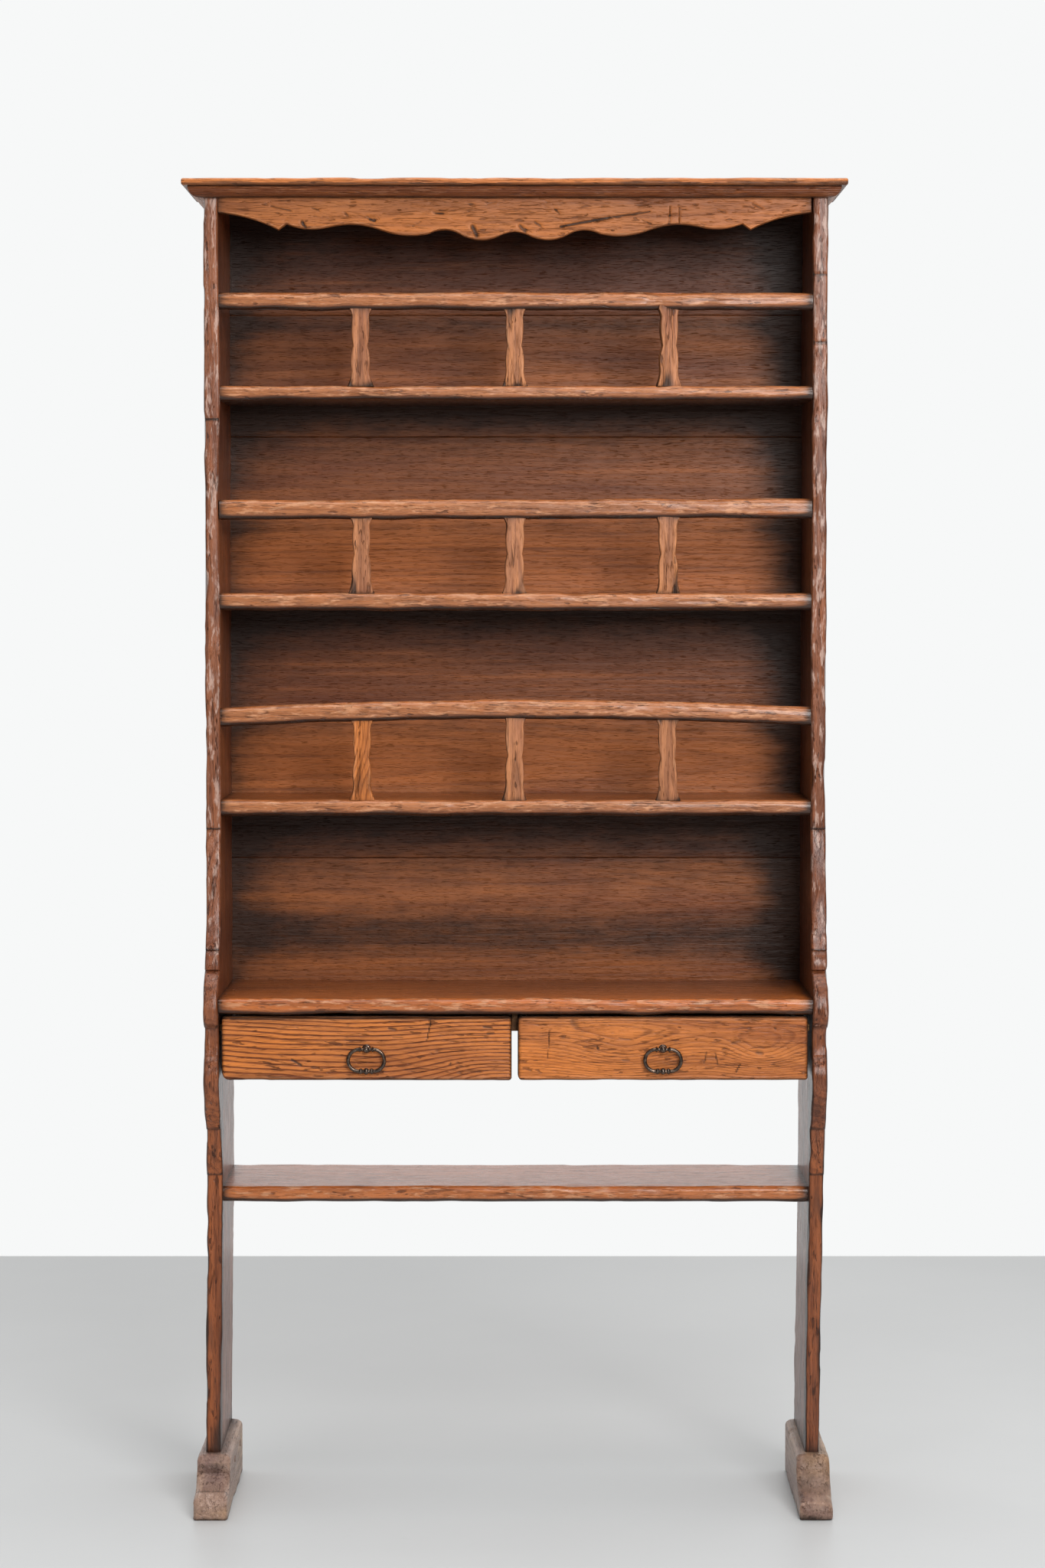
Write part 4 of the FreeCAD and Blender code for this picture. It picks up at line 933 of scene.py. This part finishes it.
class DRESSER_OT_spindles(bpy.types.Operator):
    """Builds the flat spindles, each cut a little differently"""
    bl_idname = "dresser.spindles"
    bl_label = "Spindles"

    # Half width from foot to head: share of the height, half width, swell of the next stretch
    OUTLINE = ((0.0, 19.0, -1.4), (0.2, 13.2, 1.9), (0.5, 10.9, 1.6), (0.85, 12.8, -0.9), (0.955, 16.8, 0),
               (1.0, 16.8, 0))
    EDGE_ROUNDING = 0.0022
    # Spindles that stand out: how far one has turned, and the one of golden oak
    TURNS, GOLDEN = {"upper_right_spindle": 0.22}, "lower_left_spindle"

    def execute(self, context):
        for level in LEVELS:
            for spot in ("left", "middle", "right"):
                self.build(level, f"{level}_{spot}_spindle")
        return {"FINISHED"}

    def build(self, level, node):
        low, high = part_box(node)
        base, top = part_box(f"{level}_plate_shelf")[1].z - 0.0005, high.z
        centre, middle, depth = (low.x + high.x) / 2, (low.y + high.y) / 2, (high.y - low.y) / 2
        dice = random.Random(node)
        turn = dice.uniform(-0.05, 0.05) + self.TURNS.get(node, 0.0)

        def edge():
            points = [(base + share * (top - base), width * MM + dice.uniform(-0.8, 0.8) * MM, swell * MM)
                      for share, width, swell in self.OUTLINE]
            return arc_line(points, 0.0025)

        left, right = edge(), edge()

        def section(index):
            corners = oblong(-left[index].y, right[index].y, -depth, depth, self.EDGE_ROUNDING)
            return rounded(corners, (2, 1, 2, 1), ease=0.004)

        def place(s, a, t):
            return Vector((centre + a * math.cos(turn) - t * math.sin(turn),
                           middle + a * math.sin(turn) + t * math.cos(turn), right[s].x))

        # Darker at foot and head, stains near both, and painted shade on the faces turned left, away from the
        # light
        def soil(spot, way):
            rise, drop = spot.z - base, top - spot.z
            stain = max(0.0, 0.15 + 1.4 * noise.noise(Vector((spot.x, 0, spot.z * 0.3)) * 90.0))
            stain *= fade(rise, 0.03) + 0.7 * fade(drop, 0.025)
            return 0.4 * fade(min(rise, drop - 0.004), 0.006) + stain + 0.45 * max(0.0, -way.x)

        look = "right_drawer_oak" if node == self.GOLDEN else "spindle_oak"
        swept_board(node, look, range(min(len(left), len(right))), section, place, AXES["Z"], wave=0.8,
                    soil=soil, tint=dice.uniform(-0.15, 0.15))


class DRESSER_OT_back_boards(bpy.types.Operator):
    """Builds the half-lapped back boards"""
    bl_idname = "dresser.back_boards"
    bl_label = "Back boards"

    # Tint from a height upwards, with the stretch over which each sets in: partly the boards' own tones,
    # partly painted light and shade, lighter in the galleries and darker under the shelves and the cornice
    SHADES = ((0.0, -0.32), (0.875, -0.14), (0.962, -0.62), (1.063, 0.55), (1.186, -0.74), (1.371, 0.65),
              (1.494, -0.50), (1.678, -0.30), (1.80, -0.90))
    SHADE_BLEND = 0.03
    # How far down the painted shade under each plate shelf and under the cornice reaches
    REACHES, TOP_REACH = {"upper": 0.058, "middle": 0.058, "lower": 0.095}, 0.115
    LAP, GAP, SOFT, TIGHT = 0.008, 0.0006, 0.0012, 0.0002
    # Dark band above the counter: from x, z to x, z, width, depth, darkness
    BAND = (-400, 845, 420, 835, 60, 0, 0.5)
    REAR_TINT, REAR_SOIL = -0.3, 0.12

    def shade_at(self, spot, way):
        """Tint of a spot by height: the boards' own tones with painted light and shade, lighter in the
        galleries; the rear is plain.
        """
        if way.y > -0.5:
            return self.REAR_TINT
        height = spot.z + 0.006 * noise.noise(spot * 6.0)
        tint = self.SHADES[0][1]
        for (start, here), (_, before) in zip(self.SHADES[1:], self.SHADES):
            tint += (here - before) * climb((height - start) / self.SHADE_BLEND, -0.5, 1.0)
        return tint

    def outline(self, i):
        """Section corners of a board: its foot laps behind the next one's head."""
        low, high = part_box(BACK_BOARDS[i])
        middle = (low.y + high.y) / 2
        foot = [(low.y, low.z, self.SOFT), (high.y, low.z, self.SOFT)]
        if i < len(BACK_BOARDS) - 1:
            lapped = low.z + self.LAP
            foot[1:] = [(middle, low.z, self.TIGHT), (middle, lapped, self.TIGHT),
                        (high.y, lapped, self.SOFT)]
        head = [(high.y, high.z, self.SOFT), (low.y, high.z, self.SOFT)]
        if i:
            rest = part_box(BACK_BOARDS[i - 1])[0].z - self.GAP
            lapped = rest + self.LAP
            head = [(high.y, lapped, self.SOFT), (middle, lapped, self.TIGHT), (middle, rest, self.TIGHT),
                    (low.y, rest, self.SOFT)]
        return foot + head

    def execute(self, context):
        shades = [(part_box(f"{level}_plate_shelf")[0].z, reach) for level, reach in self.REACHES.items()]
        shades.append((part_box("back_board_1")[1].z + 0.001, self.TOP_REACH))
        rails = [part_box(f"{level}_gallery_rail")[0].z - 0.01 for level in LEVELS]
        for i, node in enumerate(BACK_BOARDS):
            low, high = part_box(node)
            corners = self.outline(i)
            section = rounded(corners, [0] * (len(corners) - 1) + [24], steps=2)

            # Painted shade under each plate shelf and the cornice, in the corners by the side boards and just
            # under each rail; the rear gets only a little dirty wax
            def soil(spot, way):
                if way.y > -0.5:
                    return self.REAR_SOIL
                below, reach = min((base - spot.z, reach) for base, reach in shades if base > spot.z)
                hung = min(abs(base - spot.z) for base in rails)
                corner = high.x - abs(spot.x)
                ends = 0.8 * bell(corner, 0.06) if spot.x > 0 else 0.65 * fade(corner, 0.05)
                return 0.95 * fade(below, reach) + ends + 0.3 * bell(hung, 0.016)

            swept_board(node, "back_oak", spaced(low.x, high.x, 0.012), lambda _: section, ALONG["X"],
                        (0, 2, 1), wave=0.5, tint=self.shade_at, marks=face_marks([self.BAND], low.y),
                        soil=soil)
        return {"FINISHED"}


class DRESSER_OT_drawers(bpy.types.Operator):
    """Builds the drawer fronts, their linings and the runners"""
    bl_idname = "dresser.drawers"
    bl_label = "Drawers"

    # Scratches, plugs and knots: from x, z to x, z, width, depth, darkness
    MARKS = (
        (-124, 739, -130, 710, 2.0, 0.6, 0.8), (-186, 728, -176, 726, 4.0, 0.4, 0.6),
        (-180, 714, -166, 714, 3.0, 0.3, 0.5), (-46, 730, -34, 729, 3.0, 0.3, 0.7),
        (-40, 720, -31, 721, 3.5, 0.3, 0.6), (-96, 674, -94, 676, 2.5, 0.5, 0.8),
        (-330, 681, -316, 673, 3.5, 0.5, 0.7), (-420, 742, -12, 743, 4.0, 0.0, 0.45),
        (52, 727, 49, 684, 1.8, 0.6, 0.7), (123, 699, 123.5, 698, 4.0, 0.5, 0.8),
        (86, 736, 92, 732, 9, 0.0, 0.5), (194, 721, 204, 722, 9, 0.0, 0.4), (70, 714, 80, 714, 6, 0.0, 0.45),
        (281, 676, 284, 692, 2.2, 0.3, 0.6), (301, 674, 297, 692, 2.2, 0.3, 0.6),
        (285, 684, 297, 684, 2.2, 0.3, 0.5), (360, 692, 366, 691, 7, 0.2, 0.5),
        (328, 663, 334, 674, 2.2, 0.4, 0.7), (385, 728, 387, 727, 2.6, 0.5, 0.8),
        (322, 706, 334, 710, 4, 0.2, 0.5), (155, 713, 172, 711, 2.2, 0.3, 0.6),
        (160, 681, 170, 680, 3.5, 0.3, 0.5),
    )
    # Rounding of each front's lower left corner
    KNUCKLES = {"left": 0.012, "right": 0.006}
    # Lining boards and runners, each with the axis along its grain
    LININGS = {"left_side": "Y", "right_side": "Y", "back": "X", "bottom": "X", "runner": "Y"}
    # Half width of the centre runner's stem, and thickness of its flange
    STEM, FLANGE = 0.004, 0.010

    def execute(self, context):
        for side, _ in SIDES:
            self.front(side, context.scene.dresser_sizes.drawer_rounding)
            for part, axis in self.LININGS.items():
                plank(f"{side}_drawer_{part}", axis, "lining_wood", radius=0.001)
        self.centre_runner()
        return {"FINISHED"}

    def front(self, side, radius):
        node = f"{side}_drawer_front"
        low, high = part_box(node)
        knuckle = rounded_end(low.x, high.x, self.KNUCKLES[side])

        def section(s):
            base = low.z + (knuckle(s) if s < (low.x + high.x) / 2 else 0.0)
            corners = oblong(low.y, high.y, base, high.z, radius, 0.001, 0.001, radius)
            return rounded(corners, (1, 3, 1, 44))

        # Darker towards the front's edges, and painted shade on faces turned up, under the counter
        def soil(spot, way):
            rim = min(spot.x - low.x, high.x - spot.x, spot.z - low.z)
            return 0.8 * fade(rim, 0.0035) + 0.5 * max(0.0, way.z)

        swept_board(node, f"{side}_drawer_oak", end_stations(low.x, high.x, 0.002, radius), section,
                    ALONG["X"], (0, 2, 1), inset_at=rounded_end(low.x, high.x, radius),
                    marks=face_marks(self.MARKS, low.y), soil=soil)

    def centre_runner(self):
        low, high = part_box("centre_drawer_runner")
        stem, flange = self.STEM, low.z + self.FLANGE
        corners = [(low.x, low.z, 0.001), (high.x, low.z, 0.001), (high.x, flange, 0.001),
                   (stem, flange, 0.0003), (stem, high.z, 0.0003), (-stem, high.z, 0.0003),
                   (-stem, flange, 0.0003), (low.x, flange, 0.001)]
        section = rounded(corners, [0] * len(corners), steps=2)
        swept_board("centre_drawer_runner", "lining_wood", spaced(low.y, high.y, 0.02), lambda _: section,
                    ALONG["Y"], AXES["Y"], wave=0.3, tint=-0.8)


class DRESSER_OT_pulls(bpy.types.Operator):
    """Builds the beaded rings and gives the pulls their forged iron"""
    bl_idname = "dresser.pulls"
    bl_label = "Ring pulls"

    # Bends and straight half sides of the wire's middle line, in millimetres as all that follows
    BEND, STRAIGHT = 16.25, 10.5
    # Beads: distance from the middle of the lower side, radius, half length
    BEADS = ((-8.0, 4.4, 3.4), (0.0, 5.0, 4.3), (8.0, 4.4, 3.4))
    # Collars: distance from the eye, radius, half length
    COLLARS = ((-9.5, 4.3, 2.0), (9.5, 4.3, 2.0))
    # Half length and radius of the thinner wire in the eye
    EYE_REACH, EYE_WIRE = 7.0, 2.2
    # Points along the wire and around it
    COUNT, AROUND = 210, 12

    def execute(self, context):
        iron = forged_iron("forged_iron", tuple(context.scene.dresser_finish.iron))
        for side, _ in SIDES:
            adopt(self.ring(f"{side}_pull_ring", f"{side}_pull_post"), f"{side}_pull_ring", iron)
            for part in ("post", "nut"):
                dress(frame["nodes"][f"{side}_pull_{part}"], iron)
        return {"FINISHED"}

    def middle_line(self, s):
        """Place below the eye and outward way of the middle line, by its distance from the lower middle."""
        side = 2 * self.STRAIGHT + math.pi * self.BEND
        s = (s + self.STRAIGHT) % (2 * side)
        flip = 1 if s < side else -1
        s %= side
        angle = max(0.0, s - 2 * self.STRAIGHT) / self.BEND
        way = Vector((math.sin(angle), 0, -math.cos(angle))) * flip
        along = min(s, 2 * self.STRAIGHT) - self.STRAIGHT
        return Vector((along * flip, 0, -self.BEND)) + way * self.BEND, way

    def thickness(self, s, whole, wire):
        """Radius of the wire at a distance from the lower middle."""
        below = s if s < whole / 2 else s - whole
        above = s - whole / 2
        size = self.EYE_WIRE
        if abs(above) >= self.EYE_REACH:
            size = wire * (1 + 0.08 * noise.noise(Vector((s / 9, 0, 0))))
        for beads, here in ((self.BEADS, below), (self.COLLARS, above)):
            for middle, radius, half in beads:
                share = (here - middle) / half
                if abs(share) < 1:
                    size = max(size, radius * math.sqrt(1 - share * share))
        return size

    def ring(self, name, post):
        """Wire loop through the post's eye, beaded below and collared beside the eye."""
        wire = bpy.context.scene.dresser_sizes.ring_wire / MM
        low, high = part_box(name)
        eye = sum(c.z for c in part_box(post)) / 2
        start = Vector(((low.x + high.x) / 2, (low.y + high.y) / 2, eye))
        whole = 4 * self.STRAIGHT + 2 * math.pi * self.BEND
        verts = []
        for i in range(self.COUNT):
            s = whole * i / self.COUNT
            middle, way = self.middle_line(s)
            size = self.thickness(s, whole, wire)
            for k in range(self.AROUND):
                angle = math.tau * k / self.AROUND
                out = way * math.cos(angle) + Vector((0, math.sin(angle), 0))
                verts.append(start + (middle + out * size) * MM)
        return board_mesh(name, verts, tube(self.COUNT, self.AROUND, closed=True), {})


def nail_tree(name):
    """Node tree that sets a hammered nail head on each point, along the point's way."""
    tree = bpy.data.node_groups.new(name, "GeometryNodeTree")
    sockets = {}
    for key, flow, kind in (("Geometry", "INPUT", "Geometry"), ("Head radius", "INPUT", "Float"),
                            ("Iron", "INPUT", "Material"), ("Geometry", "OUTPUT", "Geometry")):
        sockets[key] = tree.interface.new_socket(key, in_out=flow, socket_type=f"NodeSocket{kind}")
    kinds = {
        "in": "NodeGroupInput", "out": "NodeGroupOutput", "head": "GeometryNodeMeshCone",
        "put": "GeometryNodeInstanceOnPoints", "way": "GeometryNodeInputNamedAttribute",
        "turn": "FunctionNodeAlignRotationToVector", "size": "FunctionNodeRandomValue",
        "top": "ShaderNodeMath", "tall": "ShaderNodeMath", "whole": "GeometryNodeRealizeInstances",
        "paint": "GeometryNodeSetMaterial",
    }
    made = {key: tree.nodes.new(kind) for key, kind in kinds.items()}
    for key, setting, value in (("way", "data_type", "FLOAT_VECTOR"), ("top", "operation", "MULTIPLY"),
                                ("tall", "operation", "MULTIPLY"), ("size", "data_type", "FLOAT")):
        setattr(made[key], setting, value)
    # Shares of the head's radius for its top and height, its corners, and the least and greatest size
    for key, socket, value in (("way", "Name", "way"), ("top", 1, 0.72), ("tall", 1, 0.35),
                               ("head", "Vertices", 9), ("size", 2, 0.8), ("size", 3, 1.2),
                               ("size", "Seed", 4)):
        made[key].inputs[socket].default_value = value
    for source, output, target, socket in (
            ("in", "Head radius", "top", 0), ("in", "Head radius", "tall", 0),
            ("top", 0, "head", "Radius Top"), ("in", "Head radius", "head", "Radius Bottom"),
            ("tall", 0, "head", "Depth"), ("way", "Attribute", "turn", "Vector"),
            ("in", "Geometry", "put", "Points"), ("head", "Mesh", "put", "Instance"),
            ("turn", "Rotation", "put", "Rotation"), ("size", 1, "put", "Scale"),
            ("put", "Instances", "whole", "Geometry"), ("whole", "Geometry", "paint", "Geometry"),
            ("in", "Iron", "paint", "Material"), ("paint", "Geometry", "out", "Geometry")):
        tree.links.new(made[source].outputs[output], made[target].inputs[socket])
    return tree, sockets["Head radius"].identifier, sockets["Iron"].identifier


class DRESSER_OT_nails(bpy.types.Operator):
    """Drives the nails of the back boards and drawer bottoms"""
    bl_idname = "dresser.nails"
    bl_label = "Nails"

    # Distance of the nails from a board's end, and of the back boards' rear from the shelves
    END, REAR = 0.006, 0.012

    def execute(self, context):
        iron = forged_iron("nail_iron", toned(tuple(context.scene.dresser_finish.iron), 0.6))
        tree, radius_id, iron_id = nail_tree("nail_heads")
        sets = {"back_board_nails": ("carcase", (0, 1, 0), self.back_points())}
        for side, _ in SIDES:
            sets[f"{side}_drawer_nails"] = (f"{side}_drawer", (0, 0, -1), self.drawer_points(side))
        for name, (body, way, points) in sets.items():
            mesh = bpy.data.meshes.new(name)
            mesh.from_pydata(points, [], [])
            ways = mesh.attributes.new("way", "FLOAT_VECTOR", "POINT")
            ways.data.foreach_set("vector", way * len(points))
            piece = bpy.data.objects.new(name, mesh)
            context.scene.collection.objects.link(piece)
            heads = piece.modifiers.new("nail heads", "NODES")
            heads.node_group = tree
            heads[radius_id] = context.scene.dresser_sizes.nail_size
            heads[iron_id] = iron
            graph = context.evaluated_depsgraph_get()
            whole = bpy.data.meshes.new_from_object(piece.evaluated_get(graph), depsgraph=graph)
            piece.modifiers.clear()
            piece.data = whole
            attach(piece, body)
        return {"FINISHED"}

    def back_points(self):
        dice = random.Random(11)
        points = []
        for node in BACK_BOARDS:
            low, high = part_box(node)
            for x in (low.x + self.END, high.x - self.END):
                for share in (0.2, 0.8):
                    points.append((x + dice.uniform(-1, 1) * MM, high.y,
                                   low.z + (high.z - low.z) * share + dice.uniform(-5, 5) * MM))
        for node in PLATE_SHELVES:
            low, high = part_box(node)
            for k in range(4):
                points.append((-0.33 + 0.22 * k + dice.uniform(-6, 6) * MM, high.y + self.REAR,
                               (low.z + high.z) / 2 + dice.uniform(-2, 2) * MM))
        return points

    def drawer_points(self, side):
        dice = random.Random(side)
        low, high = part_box(f"{side}_drawer_bottom")
        points = []
        for x in (low.x + self.END, high.x - self.END):
            points += [(x, low.y + 0.03 + 0.058 * k + dice.uniform(-3, 3) * MM, low.z) for k in range(4)]
        back = high.y - self.END
        points += [(low.x + 0.06 + 0.1 * k + dice.uniform(-4, 4) * MM, back, low.z) for k in range(4)]
        return points


class DRESSER_OT_stage(bpy.types.Operator):
    """Sets the floor, the light and the camera"""
    bl_idname = "dresser.stage"
    bl_label = "Stage"

    FLOOR = ((-6, -7, 0), (6, -7, 0), (6, 2.0, 0), (-6, 2.0, 0))
    # Area lights: name, place, size, power; and the place that all of them aim at
    LIGHTS = (("key", (1.4, -4.7, 2.7), 2.0, 170), ("overhead", (0.3, -0.9, 4.8), 3.2, 110),
              ("fill", (-2.8, -4.4, 2.6), 2.4, 25))
    AIM = (0, 0, 1.0)
    # Camera: place, degrees below level, lens and height of its sensor in millimetres
    EYE, TILT, LENS, SENSOR = (0.01163, -5.5717, 1.3864), 3.109, 85, 36
    # Light of the surroundings in front of the dresser and behind it, and the plain background
    DIM, BRIGHT, BACKGROUND = (0.05, 0.05, 0.05), (0.95, 0.96, 0.96), srgb(247, 248, 248)

    def execute(self, context):
        scene = context.scene
        scene.view_settings.view_transform = "Standard"
        mesh = bpy.data.meshes.new("floor")
        mesh.from_pydata(self.FLOOR, [], [(0, 1, 2, 3)])
        floor = bpy.data.objects.new("floor", mesh)
        floor.data.materials.append(plain_floor("plain_floor", tuple(scene.dresser_finish.floor)))
        scene.collection.objects.link(floor)
        self.lights(scene)
        self.sky(scene)
        camera = bpy.data.cameras.new("camera")
        camera.sensor_fit = "VERTICAL"
        camera.sensor_height = self.SENSOR
        camera.lens = self.LENS
        eye = bpy.data.objects.new("camera", camera)
        eye.location = self.EYE
        eye.rotation_euler = (math.radians(90 - self.TILT), 0, 0)
        scene.collection.objects.link(eye)
        scene.camera = eye
        return {"FINISHED"}

    def lights(self, scene):
        for name, spot, size, power in self.LIGHTS:
            lamp = bpy.data.lights.new(name, "AREA")
            lamp.size = size
            lamp.energy = power
            holder = bpy.data.objects.new(name, lamp)
            holder.location = spot
            holder.rotation_euler = (Vector(self.AIM) - Vector(spot)).to_track_quat("-Z", "Y").to_euler()
            holder.visible_camera = False
            scene.collection.objects.link(holder)

    def sky(self, scene):
        scene.world = bpy.data.worlds.new("studio")
        sky = Finish(scene.world)
        way = sky.node("ShaderNodeTexCoord", out="Generated")
        rearward = sky.node("ShaderNodeSeparateXYZ", {}, [way], out="Y").within(-0.2, 0.4)
        room = sky.blend(rearward, self.DIM, self.BRIGHT)
        seen = sky.node("ShaderNodeLightPath", out="Is Camera Ray")
        shown = sky.node("ShaderNodeBackground", {}, {"Color": (*self.BACKGROUND, 1)})
        felt = sky.node("ShaderNodeBackground", {}, {"Color": room})
        sky.node("ShaderNodeOutputWorld", {}, [sky.node("ShaderNodeMixShader", {}, [seen, felt, shown])])


PIECES = (
    DRESSER_OT_side_boards, DRESSER_OT_feet, DRESSER_OT_cornice, DRESSER_OT_valance, DRESSER_OT_shelves,
    DRESSER_OT_rails, DRESSER_OT_spindles, DRESSER_OT_back_boards, DRESSER_OT_drawers, DRESSER_OT_pulls,
    DRESSER_OT_nails, DRESSER_OT_stage,
)


class DRESSER_PT_panel(bpy.types.Panel):
    """Lists the dresser's steps, sizes and colours"""
    bl_idname = "DRESSER_PT_panel"
    bl_label = "Plate-rack dresser"
    bl_space_type = "VIEW_3D"
    bl_region_type = "UI"
    bl_category = "Dresser"

    def draw(self, context):
        for step in PIECES:
            self.layout.operator(step.bl_idname)
        for group in (context.scene.dresser_sizes, context.scene.dresser_finish):
            for key in group.__annotations__:
                self.layout.prop(group, key)


CLASSES = (DresserSizes, DresserFinish, *PIECES, DRESSER_PT_panel)


def register():
    for cls in CLASSES:
        bpy.utils.register_class(cls)
    bpy.types.Scene.dresser_sizes = PointerProperty(type=DresserSizes)
    bpy.types.Scene.dresser_finish = PointerProperty(type=DresserFinish)


def unregister():
    del bpy.types.Scene.dresser_finish
    del bpy.types.Scene.dresser_sizes
    for cls in reversed(CLASSES):
        bpy.utils.unregister_class(cls)


def main():
    register()
    for step in PIECES:
        getattr(bpy.ops.dresser, step.bl_idname.split(".")[1])()


if __name__ == "__main__":
    main()
